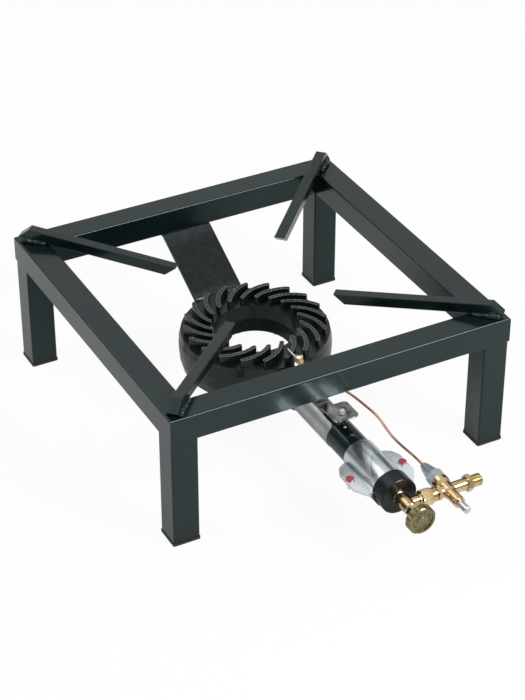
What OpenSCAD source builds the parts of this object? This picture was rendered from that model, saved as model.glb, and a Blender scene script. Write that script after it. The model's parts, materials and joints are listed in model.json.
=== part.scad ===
// Single burner gas hob: welded stool frame, cast ring burner, mixing tube and brass valve train.
// Millimetres, +Z up. The origin lies on the floor under the burner's axis.
// The valve train points to -Y, the front. Stations are distances in front of the burner's axis.

/* [Frame] */
// Outside length of each side of the square frame
frame_side = 400; // [385:1:430]
// Height of the rails' top face above the floor
frame_h = 158; // [150:1:180]
// Outside width of the square tube of rails and legs
tube_w = 30; // [28:0.5:32]
// Wall of the square tube
tube_wall = 1.5; // [1.2:0.1:2]
// Outer corner radius of the square tube
tube_r = 2; // [1.6:0.1:3]
// Inner corner radius of the square tube
tube_inner_r = 0.6; // [0.4:0.1:1]
// Step by which each leg stands back from the rails' outer faces
leg_inset = 0.8; // [0.2:0.1:2]

/* [Foot caps] */
// Height of the cap's flange under the leg
cap_flange_h = 3; // [2:0.5:5]
// Overhang of the flange past the leg on each side
cap_lip = 0.6; // [0.2:0.1:1]
// Depth of the cap's plug inside the leg
cap_plug_h = 14; // [8:1:25]
// Wall of the hollow plug
cap_plug_wall = 2; // [1.2:0.1:4]
// Gap between the plug and the tube
cap_gap = 0.15; // [0.1:0.05:0.4]

/* [Pot bars] */
// Width of the square bar that carries the pot
bar_w = 12; // [10:0.5:13]
// Rounding of the bar's long edges
bar_edge_r = 1; // [0.5:0.1:2]
// Distance from the burner's axis to the bar's inner tip
bar_tip_r = 89.5; // [86:0.5:110]
// Distance from the frame's outer corner to the outer end of the bar's top edge
bar_end_inset = 21; // [15:0.5:30]
// Slope of the bar, rising outwards, in degrees
bar_slope = 6.3; // [4:0.1:8]
// Angle of the cut at both ends, in degrees
bar_cut = 45; // [35:1:60]
// Gap between the bar's underside and the rail at the frame's inner corner
bar_lift = 1.5; // [0.5:0.1:3]
// Radius of the weld bead where it begins under the bar
bead_r_small = 3; // [2:0.1:5]
// Radius of the weld bead at its outer end
bead_r_large = 7.8; // [7:0.1:8]
// Length of the weld bead between its two radii
bead_len = 20; // [16:1:20]

/* [Ring burner] */
// Drop from the rails' top face to the tops of the burner's ribs
burner_drop = 58; // [50:1:64]
// Number of curved ribs
rib_count = 20; // [16:4:20]
// Width of a rib
rib_w = 5; // [4:0.1:5.6]
// Height of a rib above the deck
rib_h = 9.5; // [7:0.5:12]
// Distance from the burner's axis to the centre of a rib's inner end
rib_r_in = 50.5; // [49.5:0.1:52]
// Distance from the burner's axis to the centre of a rib's outer end
rib_r_out = 77.5; // [75:0.1:78]
// Turn from a rib's inner end to its outer end, in degrees
rib_sweep = 27; // [22:1:32]
// Radius of the arc that a rib follows
rib_bend_r = 48; // [42:1:70]
// Number of gas ports along a rib
port_count = 7; // [5:1:8]
// Radius of a gas port
port_r = 1.4; // [0.8:0.1:1.5]
// Radius of the centre opening at the deck
ring_in_r = 46; // [44:0.5:47]
// Step from the burner's largest radius in to the deck's edge
top_draw = 2.4; // [1.2:0.1:3.6]
// Largest radius of the burner, at its joint
bulge_r = 85.2; // [84.5:0.1:87]
// Height of the upper casting from the joint to the deck
cover_h = 17.5; // [15:0.5:20]
// Height of the lower casting from its foot to the joint
base_h = 25; // [23:0.5:27]
// Wall of both castings
cast_wall = 3; // [2.5:0.1:3.5]
// Draft of the centre opening over the upper casting's height
cover_draft = 1; // [0.5:0.1:2]
// Step by which the lower casting shows inside the upper one
joint_step = 1; // [0.5:0.1:1.6]
// Radius of the centre opening at the lower casting's waist
waist_r = 40.5; // [39:0.5:42]
// Radius at which the sloping underside meets the flat foot
sole_r = 60; // [56:0.5:61]
// Step from the burner's largest radius in to the foot's edge
foot_draw = 3.9; // [2.2:0.1:6]
// Radius of the screw bosses' circle
boss_circle_r = 64; // [63:0.5:65]
// Radius of a boss in the lower casting
base_boss_r = 6; // [5:0.1:7]
// Radius of a pillar under the deck
pillar_r = 4.4; // [3.6:0.1:4.6]
// Shank radius of a ring screw
ring_screw_r = 2.5; // [2:0.1:2.6]

/* [Mixing tube] */
// Drop from the ribs' tops to the mixing tube's axis
tube_drop = 31; // [29:0.5:33]
// Outer radius of the mixing tube
mix_r = 16.85; // [15:0.05:17.5]
// Wall of the mixing tube
mix_wall = 2.6; // [2:0.1:3.2]
// Outer radius of the burner's neck
neck_r = 20; // [19.5:0.1:21]
// Length of the neck in front of the burner
neck_reach = 24.8; // [22:0.1:30]
// Depth to which the tube sits in the neck
neck_socket = 20; // [15:1:22]
// Width of an air slot in the tube
air_slot_w = 9; // [6:0.5:11]
// Length of an air slot in the tube
air_slot_len = 24; // [18:1:30]
// Angle of each air slot from straight down, in degrees
air_slot_angle = 38; // [30:1:45]

/* [Rear strap] */
// Width of the strap
strap_w = 60; // [50:1:70]
// Thickness of the strap
strap_t = 3; // [2.5:0.1:4]
// Length of the strap's land under the back rail
strap_land = 22; // [15:1:27]
// Height that the sloping stretch falls
strap_fall = 43; // [38:1:48]
// Gap between the burner and the strap's upright stretch
strap_gap = 3; // [2:0.5:6]
// Length of the lip under the burner's foot
strap_lip = 26; // [25:0.5:30]
// Bend radius of the strap, on its front side
strap_bend_r = 6; // [5:0.5:8]
// Distance from the strap's centre line to each screw
strap_screw_x = 14; // [10:1:18]
// Shank radius of a strap screw
strap_screw_r = 3; // [2.5:0.1:3.5]
// Radius of the weld beads beside the strap's land
strap_bead_r = 2.2; // [1.5:0.1:3]

/* [Front bracket] */
// Width of the bracket's lug
lug_w = 28.6; // [25:0.1:32]
// Length of the bracket's lug from front to back
lug_len = 29; // [26:0.5:32]
// Corner radius of the lug
lug_r = 4.5; // [3:0.5:6]
// Width of the bracket's neck, at the lug's left side
lug_neck_w = 16; // [14:0.5:20]
// Thickness of the bracket's sheet
lug_t = 2; // [1.5:0.1:2.5]
// Depth of the lug's top face below the rail's underside
lug_drop = 29.5; // [27:0.5:31]
// Step between the lug and the bracket's rear stretch
joggle = 4.2; // [3:0.1:4.6]
// Reach of the lug in front of the rail's front face
lug_reach = 5; // [3:0.5:8]
// Distance from the rail's inner face to the bracket's riser
riser_back = 12; // [9:0.5:15]
// Length of the bracket's land under the rail
bracket_land = 32; // [26:1:36]
// Radius of the boss between the lug and the mixing tube
lug_boss_r = 6; // [5:0.1:7]
// Shank radius of the bracket's screw
lug_screw_r = 2.5; // [2:0.1:3]
// Head radius of the bracket's screw
lug_head_r = 4.4; // [4:0.1:5]

/* [Air sleeve] */
// Distance from the frame's front face to the sleeve
sleeve_reach = 30; // [24:1:34]
// Length of the sleeve's upper half
sleeve_len = 61.5; // [56:0.5:66]
// Length by which the sleeve's lower half is shorter
sleeve_trim = 12; // [8:0.5:16]
// Thickness of the sleeve's sheet
sleeve_t = 1.5; // [1:0.1:1.8]
// Gap between the sleeve and the mixing tube
sleeve_gap = 0.15; // [0.1:0.05:0.3]
// Half of the gap between the two halves' ears
ear_gap = 0.3; // [0.2:0.05:0.6]
// Distance from the tube's axis to the ears' outer edges
ear_reach = 35.6; // [35:0.1:40]
// Distance from the sleeve's rear edge to the ears
ear_rear = 7; // [4:0.5:12]
// Length over which an ear widens to its full reach
ear_rise = 15; // [10:0.5:20]
// Length over which an ear narrows towards the cup
ear_fall = 14; // [10:0.5:18]
// Length of an ear beside the cup
ear_overlap = 3; // [1:0.5:6]
// Distance from the tube's axis to the clamp screws
clamp_x = 31; // [29:0.5:32]
// Shank radius of a clamp screw
clamp_r = 2; // [1.6:0.1:2.2]
// Head radius of a clamp screw
clamp_head_r = 3.4; // [3:0.1:3.6]
// Head height of a clamp screw
clamp_head_h = 2; // [1.5:0.1:2.5]
// Length of a clamp screw under its head
clamp_len = 11; // [8:0.5:13]
// Corner radius of a clamp nut
clamp_nut_r = 4; // [3.6:0.1:4.4]
// Height of a clamp nut
clamp_nut_h = 3.2; // [2.5:0.1:4]
// Wall of the sealing cap on a clamp screw
seal_wall = 0.7; // [0.5:0.1:1]

/* [End cup] */
// Outer radius of the end cup
cup_r = 20.4; // [20:0.1:22]
// Length of the end cup
cup_len = 19; // [17:0.5:24]
// Outer radius of the lip under the sleeve
cup_lip_r = 21.5; // [21:0.1:23]
// Length of the lip inside the cup's own length
cup_lip_len = 5; // [3:0.5:8]
// Thickness of the cup's front wall
cup_front = 6; // [4:0.5:8]
// Chamfer of the cup's front edge
cup_chamfer = 0.9; // [0.6:0.1:2]
// Gap between the cup and the mixing tube
cup_gap = 0.1; // [0.05:0.05:0.3]

/* [Injector] */
// Thickness of the steel washer on the cup's face
washer_t = 1; // [0.8:0.1:2]
// Radius of the washer
washer_r = 7.2; // [6.5:0.1:8.5]
// Radius of the injector's shank in the cup's wall
injector_r = 4.9; // [4:0.1:5.5]
// Length of the jet's cone inside the tube
jet_len = 8; // [6:0.5:12]
// Radius of the jet's tip
jet_tip_r = 1.6; // [1.2:0.1:2.4]
// Radius of the jet's bore
jet_bore_r = 0.5; // [0.3:0.1:0.8]
// Thickness of the injector's hexagon
injector_hex_t = 2.5; // [2:0.5:5]
// Corner radius of the injector's hexagon
injector_hex_r = 7.5; // [6.8:0.1:9]
// Radius of the injector's thread in the valve body
injector_thread_r = 3.9; // [3:0.1:4.4]
// Length of that thread
injector_thread_len = 4; // [3:0.5:4]

/* [Regulating valve] */
// Outer radius of the valve body
valve_r = 7.5; // [7:0.1:9]
// Length of the valve body
valve_len = 21; // [20:0.5:24]
// Distance from the body's rear face to the outlet's axis
valve_cross = 9.5; // [9.5:0.1:11]
// Radius of the side arm
arm_r = 5; // [4.4:0.1:6]
// Distance from the valve's axis to the end of the plain arm
arm_len = 14; // [12:0.5:15.5]
// Radius of the arm's thread under the union nut
union_thread_r = 6.4; // [5.6:0.1:6.8]
// Length of the arm's thread
union_thread_len = 10.2; // [9:0.1:12]
// Radius of the gas way through the arm
gas_way_r = 2.5; // [1.5:0.1:3]
// Radius of the valve seat's bore
seat_r = 1.5; // [1.2:0.1:1.8]
// Length of the valve seat's bore
seat_len = 3; // [2.5:0.5:3]
// Radius of the needle's chamber
chamber_r = 4; // [3.8:0.1:4.6]
// Radius of the gland's thread in the valve body
gland_thread_r = 5.4; // [4.8:0.1:6]
// Length of the gland's thread
gland_thread_len = 5; // [3:0.5:5]
// Corner radius of the gland nut's hexagon
gland_hex_r = 7.5; // [6.5:0.1:8.5]
// Height of the gland nut's hexagon
gland_hex_t = 6; // [4:0.5:7]
// Length of the gland's packing
packing_len = 3; // [2:0.5:3.5]
// Radius of the spindle
spindle_r = 3; // [2.8:0.1:3.2]
// Running clearance round a turning or sliding part
run_gap = 0.05; // [0.02:0.01:0.08]
// Radius of the needle's shank in the spindle
needle_r = 1.9; // [1.6:0.1:2.1]
// Radius of the needle's cone where it begins
needle_cone_r = 2.2; // [2.1:0.05:2.6]
// Length of the needle's cone
needle_cone_len = 4.6; // [4.2:0.1:5.2]
// Radius of the needle's point
needle_tip_r = 0.5; // [0.3:0.05:0.6]
// Travel of the needle
needle_lift = 1.5; // [1:0.1:1.6]

/* [Knob] */
// Outer radius of the knob
knob_r = 15.6; // [14:0.1:18]
// Thickness of the knob's disc
knob_t = 9; // [7:0.5:11]
// Radius of the knob's hub
knob_hub_r = 7; // [6:0.1:8]
// Length of the knob's hub
knob_hub_len = 4.5; // [3:0.5:6]
// Gap between the knob's hub and the gland nut
knob_gap = 1; // [0.6:0.1:2]
// Number of flutes round the knob
flute_count = 10; // [8:1:12]
// Radius of a flute
flute_r = 4.5; // [3:0.1:6]
// Depth of a flute
flute_depth = 1.1; // [0.6:0.1:1.6]
// Chamfer of the knob's front edge
knob_chamfer = 1.2; // [0.6:0.1:1.8]
// Radius of the recess in the knob's face
knob_recess_r = 11.8; // [10:0.1:12.4]
// Depth of the recess in the knob's face
knob_recess_t = 0.8; // [0.4:0.1:1.2]
// Radius of the raised disc in the recess
knob_centre_r = 6.4; // [5:0.1:8]

/* [Union] */
// Distance from the valve's axis to the union nut
union_start = 16.6; // [16:0.1:18]
// Length of the union nut's hexagon
union_hex_len = 12; // [10:0.5:14]
// Corner radius of the union nut's hexagon
union_hex_r = 9.6; // [9:0.1:11]
// Length of the union nut's round collar
union_collar_len = 5; // [3:0.5:6]
// Radius of the union nut's round collar
union_collar_r = 7.6; // [7:0.1:8.2]
// Thickness of the nipple's flange inside the nut
nipple_flange_t = 1.8; // [1.2:0.1:2.4]
// Radius of the nipple's neck
nipple_r = 4.5; // [3.6:0.1:4.8]
// Corner radius of the nipple's hexagon
nipple_hex_r = 8.2; // [7.5:0.1:9]
// Thickness of the nipple's hexagon
nipple_hex_t = 4; // [3:0.5:5]
// Length of the nipple's thread in the safety body
nipple_thread_len = 3.5; // [2.5:0.5:4]

/* [Flame failure valve] */
// Distance from the valve's axis to the safety body's axis
safety_x = 48.5; // [47.5:0.5:50]
// Radius of the safety body's core
core_r = 7.6; // [7.2:0.1:8.5]
// Radius of the side arms
side_arm_r = 6.4; // [6:0.1:7]
// Length of the inlet arm from the body's axis
inlet_arm_len = 21.5; // [20:0.5:24]
// Length of the button arm from the cross
button_arm_len = 22; // [21:0.5:25]
// Radius of the button arm
button_arm_r = 6.3; // [6:0.1:7]
// Distance from the cross to the rear arm's open end
rear_arm_len = 14.5; // [14:0.5:16]
// Radius of the rear arm at its open end
rear_arm_r = 9.4; // [9:0.1:10.5]
// Radius of the front chamber round the cross
front_chamber_r = 4; // [3.6:0.1:4.2]
// Distance from the cross to either end of the front chamber
front_chamber_half = 4.4; // [4:0.1:4.6]
// Thickness of the safety valve's seat
safety_seat_t = 2.6; // [2:0.1:3]
// Radius of the opening in the safety valve's seat
safety_seat_r = 2.8; // [2.2:0.1:3.2]
// Radius of the rear chamber
rear_chamber_r = 6; // [5.6:0.1:6.4]
// Radius of the sealing disc
disc_r = 4.6; // [4:0.1:5]
// Thickness of the sealing disc
disc_t = 2.4; // [1.8:0.1:2.6]
// Radius of the feed drilling from the inlet to the rear chamber
feed_r = 1; // [0.8:0.1:1.2]
// Radius of the stem
stem_r = 1.4; // [1.1:0.1:1.6]
// Thickness of the wall that guides the stem
guide_wall_t = 5; // [4:0.5:6]
// Radius of the spring's chamber
spring_room_r = 4.8; // [4.6:0.1:5]
// Length of the guide bush in the button arm's end
bush_len = 3; // [2.5:0.5:4]
// Length of the bush's rim in front of the arm
bush_rim_t = 1.6; // [1:0.1:2]
// Radius of the button
button_r = 4; // [3.6:0.1:4.1]
// Length of the button in front of the bush's rim
button_out = 15; // [13:0.5:17]
// Chamfer of the button's front edge
button_chamfer = 0.8; // [0.4:0.1:1.2]
// Radius of the button's collar inside the arm
collar_r = 4.5; // [4.3:0.1:4.55]
// Thickness of the button's collar
collar_t = 1.5; // [1:0.1:2]
// Travel of the button
button_travel = 5; // [4:0.1:5]
// Wire radius of the return spring
wire_r = 0.3; // [0.2:0.05:0.35]
// Radius of the spring's coil, to the wire's centre
coil_r = 3.3; // [2.8:0.1:3.6]
// Number of turns of the return spring
coil_turns = 4; // [3:1:5]

/* [Inlet] */
// Thickness of the inlet's hexagon
inlet_hex_t = 5.5; // [4:0.5:7]
// Corner radius of the inlet's hexagon
inlet_hex_r = 9.4; // [8.8:0.1:10.5]
// Radius of the inlet's outer thread
inlet_thread_r = 6.58; // [6.4:0.01:6.7]
// Length of the inlet's outer thread
inlet_thread_len = 12; // [10:0.5:14]
// Chamfer of the thread's free end
inlet_chamfer = 0.8; // [0.4:0.1:1.2]
// Radius of the inlet's bore
inlet_bore_r = 3.6; // [3:0.1:4]
// Radius of the inlet's thread in the safety body
inlet_spigot_r = 4.9; // [4.5:0.1:5.2]
// Length of that thread
inlet_spigot_len = 7; // [5:0.5:8]

/* [Magnet unit] */
// Corner radius of the magnet nut's hexagon
magnet_hex_r = 10.4; // [10:0.1:11.5]
// Length of the magnet nut's hexagon
magnet_hex_len = 11; // [9:0.5:13]
// Length of the magnet nut's cone
magnet_cone_len = 17; // [14:0.5:20]
// Radius of the magnet nut's cone at its hexagon
magnet_cone_r = 8.6; // [8:0.1:8.9]
// Radius of the magnet nut's cone at its rear end
magnet_end_r = 5; // [4.6:0.1:6]
// Radius of the magnet's core
magnet_r = 5.2; // [4.6:0.1:5.4]
// Length of the magnet's core
magnet_len = 14; // [10:0.5:16]
// Corner radius of the lead's nut
lead_nut_r = 3.9; // [3.6:0.1:4.4]
// Length of the lead's nut
lead_nut_len = 4; // [3:0.5:5]

/* [Thermocouple] */
// Distance of the thermocouple to the right of the burner's axis
tip_x = 3.5; // [2:0.5:6]
// Height of the thermocouple's axis above the ribs
tip_rise = 2.5; // [2:0.1:5]
// Radius of the thermocouple's rod
tip_r = 1.2; // [1:0.1:1.6]
// Length of the rod over the burner
tip_over = 17.2; // [12:0.1:21]
// Gap between the burner and the bracket's upright
stand_gap = 6.8; // [6:0.1:10]
// Radius of the lead
lead_r = 1.4; // [1.2:0.1:1.5]
// Corner radius of the bush's hexagon and nut
bush_hex_r = 4.6; // [4.2:0.1:5]
// Length of the bush's hexagon
bush_hex_t = 4; // [3:0.5:5]
// Radius of the bush's thread
bush_thread_r = 3; // [2.4:0.1:3.4]
// Length of the bush's thread behind the bracket
bush_thread_len = 6; // [5:0.5:8]
// Thickness of the nut behind the bracket
bush_nut_t = 3; // [2:0.5:4]
// Thickness of the thermocouple bracket
stand_t = 1.2; // [0.8:0.1:1.6]
// Width of the thermocouple bracket
stand_w = 10; // [9:0.5:12]
// Length of the bracket's foot
stand_foot = 14; // [12:0.5:15]
// Height of the pad on the neck under the bracket
pad_h = 1.2; // [0.8:0.1:2]
// Shank radius of the bracket foot's screw
stand_screw_r = 1.5; // [1.2:0.1:2]
// Head radius of the bracket foot's screw
stand_head_r = 2.9; // [2.6:0.1:3.4]

/* [Hidden] */

$fn = 64;
// Overrun of every cut past the face that it leaves
cut = 1;
// Clearance round a screw's shank or thread inside one assembly
thread_gap = 0.05;
// Gap kept between two curved castings or a casting and its seat
seat_gap = 0.1;
// Share of the skirt's height and swell at its middle point
skirt_height_share = 0.5;
skirt_swell_share = 0.83;
// Shares of the lower casting's height at its waist and shoulder
waist_share = 0.48;
shoulder_share = 0.45;
shoulder_swell_share = 0.74;
// Share of the thermocouple rod's radius that its end keeps
tip_point_share = 0.55;
// Share of a sealing cap's radius that its flat top keeps
seal_dome_share = 0.72;
// Share of the strap's lip at which its screws stand
strap_screw_share = 0.72;
// Chamfer of every hexagon as a share of its corner radius
hex_chamfer_share = 0.12;
// Share of the bracket screw's head radius that its top keeps
lug_dome_share = 0.72;
// Share of a ring screw's shank radius that its key's recess takes
ring_key_share = 0.9;
// Distance from the frame's front face back to the bracket's screw
lug_screw_back = 7;
// Distance from the rail's inner face back to the bracket's joggle
joggle_back = 2;
// Gap in front of the needle's seat
needle_room = 2.1;
// Spare room for the needle at both ends of its travel
needle_slack = 0.5;
// Gap between the magnet and the pressed disc
magnet_room = 0.6;
// Height of the thermocouple bracket above the rod's axis
stand_rise = 5;
// Distance from the bracket's upright to its foot's screw
stand_screw_reach = 8.2;
// Depth of that screw in the pad
stand_grip = 3;
// Length of the neck's root inside the burner
neck_root = 7.2;
// Length of the copper lead inside its nut
lead_grip = 1.5;

paint = "#2c3332";
iron = "#1e2222";
brass = "#c49a52";
steel = "#b9bec0";

front_y = frame_side / 2;
rail_in = front_y - tube_w;
rail_bottom = frame_h - tube_w;
corner_out_r = front_y * sqrt(2);
corner_in_r = rail_in * sqrt(2);
leg_centre = front_y - leg_inset - tube_w / 2;

burner_top = frame_h - burner_drop;
deck_z = burner_top - rib_h;
joint_z = deck_z - cover_h;
foot_z = joint_z - base_h;
tube_z = burner_top - tube_drop;
ring_top_r = bulge_r - top_draw;
foot_out_r = bulge_r - foot_draw;
cover_in_r = ring_in_r - cover_draft;
base_in_r = cover_in_r - joint_step;

// The rib's arc: its two end centres, the centre that it bends round and its angles there
rib_a = [rib_r_in, 0];
rib_b = rib_r_out * [cos(rib_sweep), -sin(rib_sweep)];
rib_chord = norm(rib_b - rib_a);
rib_dir = (rib_b - rib_a) / rib_chord;
rib_centre = (rib_a + rib_b) / 2
  + sqrt(pow(rib_bend_r, 2) - pow(rib_chord / 2, 2)) * [rib_dir[1], -rib_dir[0]];
rib_start = atan2(rib_a[1] - rib_centre[1], rib_a[0] - rib_centre[0]);
rib_end = atan2(rib_b[1] - rib_centre[1], rib_b[0] - rib_centre[0]);
rib_phase = -11;
rib_root = 1;
// Step from a rib's sides to its rounded end
rib_end_step = 0.2;
rib_pitch = 360 / rib_count;
// The pillars stand midway between two ribs: the rib's angle where it crosses their circle, plus half a pitch
rib_reach = norm(rib_centre);
rib_cross = acos(
  (pow(rib_reach, 2) + pow(boss_circle_r, 2) - pow(rib_bend_r, 2)) / (2 * rib_reach * boss_circle_r)
);
pillar_skip = 3;
pillar_turn = rib_phase + atan2(rib_centre[1], rib_centre[0]) + rib_cross + (pillar_skip + 1 / 2) * rib_pitch;
pillar_count = 4;
pillar_step = rib_pitch * floor(rib_count / pillar_count);
ring_screw_grip = 9;
ring_head_r = 4.2;
ring_head_h = 3;

neck_bore_r = mix_r - mix_wall;
neck_end = bulge_r + neck_reach;
neck_start = bulge_r - neck_root;
socket_s = neck_end - neck_socket;
tube_front_s = front_y + sleeve_reach + sleeve_len + cup_len - cup_front - seat_gap;
slot_s = front_y + sleeve_reach + (sleeve_len - sleeve_trim) / 2;
window_shift = 5;

strap_y = bulge_r + strap_gap;
strap_screw_y = strap_y - strap_lip * strap_screw_share;
strap_head_r = 5;
strap_head_h = 4;
strap_thread = 7;
strap_boss_r = 7;

lug_top = rail_bottom - lug_drop;
lug_front_s = front_y + lug_reach;
lug_screw_s = front_y - lug_screw_back;
riser_s = rail_in - riser_back;
joggle_s = rail_in + joggle_back;
joggle_run = 6;
bracket_bend_r = 3.2;
lug_head_h = 2.6;
lug_screw_len = 10;
lug_hex_r = 1.6;

sleeve_s = front_y + sleeve_reach;
sleeve_r = mix_r + sleeve_gap + sleeve_t;
cup_s = sleeve_s + sleeve_len;
cup_e = cup_s + cup_len;
// Shares of an ear's rise at its two rear corners, across and along
ear_low_share = 0.42;
ear_low_rise_share = 0.12;
ear_high_share = 0.78;
ear_high_rise_share = 0.42;
ear_tip_share = 0.5;
ear_root_x = sleeve_r - sleeve_t / 2;
ear_clear = 0.4;
clamp_back = 26.5;
clamp_s = cup_s - clamp_back;
lip_s = cup_s - sleeve_trim + ear_clear;

hex_s = cup_e + washer_t;
body_s = hex_s + injector_hex_t;
cross_s = body_s + valve_cross;
seat_end_s = body_s + injector_thread_len + thread_gap / 2 + seat_len;
gland_s = body_s + valve_len;
gland_thread_s = gland_s - gland_thread_len;
knob_s = gland_s + gland_hex_t + knob_gap;
disc_s = knob_s + knob_hub_len;
knob_front_s = disc_s + knob_t;
needle_start_s = seat_end_s + needle_room;
needle_shank_len = 7;
spindle_start_s = needle_start_s + needle_lift + needle_slack;
packing_s = gland_thread_s - packing_len - thread_gap;
knob_blind = 2;

// Length of the side arm outside the core, on the nipple's side
side_arm_out = 1.6;
// Share of the rear arm that keeps its full radius
rear_arm_share = 0.4;
// Half length of the body's core and the taper from it to the button arm
core_half = 5;
core_taper = 2.5;
thread_end_x = arm_len + union_thread_len;
flange_end_x = thread_end_x + nipple_flange_t;
nipple_hex_x = safety_x - core_r - side_arm_out - nipple_hex_t;
union_hex_end = union_start + union_hex_len;
union_end = union_hex_end + union_collar_len;
nipple_end_x = nipple_hex_x + nipple_hex_t;
nipple_way_r = 2.4;

inlet_arm_x = safety_x + inlet_arm_len;
inlet_hex_x = inlet_arm_x + inlet_hex_t;
inlet_end_x = inlet_hex_x + inlet_thread_len;
arm_front_s = cross_s + button_arm_len;
seat_s = cross_s - front_chamber_half;
rear_room_s = seat_s - safety_seat_t;
rear_arm_s = cross_s - rear_arm_len;
guide_wall_s = cross_s + front_chamber_half;
spring_room_s = guide_wall_s + guide_wall_t;
bush_s = arm_front_s - bush_len;
button_front_s = arm_front_s + bush_rim_t + button_out;
collar_s = bush_s - collar_t - seat_gap;
disc_rest_s = rear_room_s - seat_gap;
disc_hole_gap = 0.02;
disc_stem_r = 0.9;
spring_end_gap = 0.1;
spring_len = collar_s - spring_room_s - 2 * (wire_r + spring_end_gap);
bush_thread_gap = 0.1;
// Radius of the way from the inlet to the feed drilling
inlet_way_r = 2.6;
// Distance from the body's axis to the feed drilling
feed_offset = 5.9;

magnet_front_s = rear_arm_s;
magnet_hex_s = magnet_front_s - magnet_hex_len;
magnet_end_s = magnet_hex_s - magnet_cone_len;
magnet_face_s = disc_rest_s - disc_t - button_travel - magnet_room;
magnet_spigot = 1.6;
lead_nut_s = magnet_end_s - lead_nut_len;

tip_z = burner_top + tip_rise;
tip_reach = bulge_r - tip_over;
tip_stand = bulge_r + stand_gap;
pad_z = tube_z + neck_r + pad_h;
pad_w = 12;
stand_top = tip_z + stand_rise;
stand_screw_s = tip_stand + stand_screw_reach;
stand_head_h = 1.8;
stand_bend_r = 1.6;
bush_front_s = tip_stand + stand_t + bush_hex_t;
bush_rear_s = tip_stand - bush_thread_len;

// Route of the copper lead: its two ends, and the points between them as shares of the way
lead_from = [tip_x, -bush_front_s, tip_z];
lead_to = [safety_x, -(lead_nut_s + lead_grip), tube_z];
lead_shares = [
  [0, 0.015, 0],
  [0.033, 0.06, 0.015],
  [0.189, 0.137, 0.134],
  [0.433, 0.214, 0.328],
  [0.678, 0.291, 0.537],
  [0.878, 0.38, 0.761],
  [1, 0.484, 0.925],
  [0.978, 0.584, 0.985],
  [0.944, 0.688, 1],
  [0.956, 0.788, 1],
  [0.99, 0.887, 1],
  [1, 0.959, 1]
];
lead_route = concat(
  [lead_from],
  [for (share = lead_shares) [for (k = [0 : 2]) lead_from[k] + (lead_to[k] - lead_from[k]) * share[k]]],
  [lead_to]
);
lead_steps = 4;
lead_sides = 8;

// Directions and offsets in a plane
function unit(v) = v / norm(v);
function left(v) = [-v[1], v[0]];
function mitre(a, b, c, t) =
  let (m = left(unit(b - a)), n = left(unit(c - b)))
  b + t * (m + n) / (1 + m * n);
function shifted(path, t) = [
  for (i = [0 : len(path) - 1])
    i == 0 ? path[0] + t * left(unit(path[1] - path[0])) :
    i == len(path) - 1 ? path[i] + t * left(unit(path[i] - path[i - 1])) :
    mitre(path[i - 1], path[i], path[i + 1], t)
];
// A band of thickness t on the left side of a path
function band(path, t) =
  let (other = shifted(path, t))
  concat(path, [for (i = [len(path) - 1 : -1 : 0]) other[i]]);
// The path with each inner corner turned into an arc of radius r
function corner_arc(a, b, c, r, steps) =
  let (
    u = unit(a - b),
    v = unit(c - b),
    half = acos(u * v) / 2,
    reach = r / tan(half),
    centre = b + unit(u + v) * r / sin(half),
    p = b + u * reach - centre,
    q = b + v * reach - centre,
    from = atan2(p[1], p[0]),
    turn = (atan2(q[1], q[0]) - from + 540) % 360 - 180
  )
  [for (i = [0 : steps]) centre + r * [cos(from + turn * i / steps), sin(from + turn * i / steps)]];
function eased(path, r, steps) = concat(
  [path[0]],
  [for (i = [1 : len(path) - 2]) each corner_arc(path[i - 1], path[i], path[i + 1], r, steps)],
  [path[len(path) - 1]]
);
// Points of a smooth curve through a route
function spline_point(a, b, c, d, t) =
  0.5 * (2 * b + (c - a) * t + (2 * a - 5 * b + 4 * c - d) * t * t + (3 * b - a - 3 * c + d) * t * t * t);
function smooth(route, steps) = [
  for (i = [0 : len(route) - 2], j = [0 : i == len(route) - 2 ? steps : steps - 1])
    spline_point(
      i == 0 ? 2 * route[0] - route[1] : route[i - 1],
      route[i],
      route[i + 1],
      i == len(route) - 2 ? 2 * route[i + 1] - route[i] : route[i + 2],
      j / steps
    )
];
function tangent(line, i) = unit(line[min(i + 1, len(line) - 1)] - line[max(i - 1, 0)]);
function ring_points(line, i, r, sides, up) =
  let (
    t = tangent(line, i),
    side = unit(cross(t, up)),
    lift = cross(side, t)
  )
  [for (k = [0 : sides - 1]) line[i] + r * (cos(360 * k / sides) * side + sin(360 * k / sides) * lift)];
// The spring's centre line, along its own axis from zero
spring_line = [
  for (i = [0 : 8 * coil_turns])
    [coil_r * cos(45 * i), coil_r * sin(45 * i), spring_len * i / (8 * coil_turns)]
];
spring_gap = min([
  for (i = [0 : 8 * coil_turns - 8])
    min([for (j = [i + 6 : min(i + 10, 8 * coil_turns)]) norm(spring_line[i] - spring_line[j])])
]) - 2 * wire_r;
echo(spring_gap = spring_gap);

// A closed tube swept along a line of points
module swept(line, r, sides, up) {
  last = len(line) - 1;
  polyhedron(
    points = [for (i = [0 : last]) each ring_points(line, i, r, sides, up)],
    faces = concat(
      [[for (k = [0 : sides - 1]) k]],
      [[for (k = [sides - 1 : -1 : 0]) last * sides + k]],
      [for (i = [0 : last - 1], k = [0 : sides - 1])
        [i * sides + k, (i + 1) * sides + k, (i + 1) * sides + (k + 1) % sides]],
      [for (i = [0 : last - 1], k = [0 : sides - 1])
        [i * sides + k, (i + 1) * sides + (k + 1) % sides, i * sides + (k + 1) % sides]]
    )
  );
}

// Children drawn along +Z come to lie along the front axis, with their height as the station
module front_axis(x, z) {
  translate([x, 0, z])
    rotate([90, 0, 0])
      children();
}

// Children drawn along +Z come to lie along +X at the cross of the valves
module side_axis() {
  translate([0, -cross_s, tube_z])
    rotate([0, 90, 0])
      children();
}

// A round bar between two stations
module rod(from, to, r) {
  translate([0, 0, min(from, to)])
    cylinder(h = abs(to - from), r = r);
}

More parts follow.
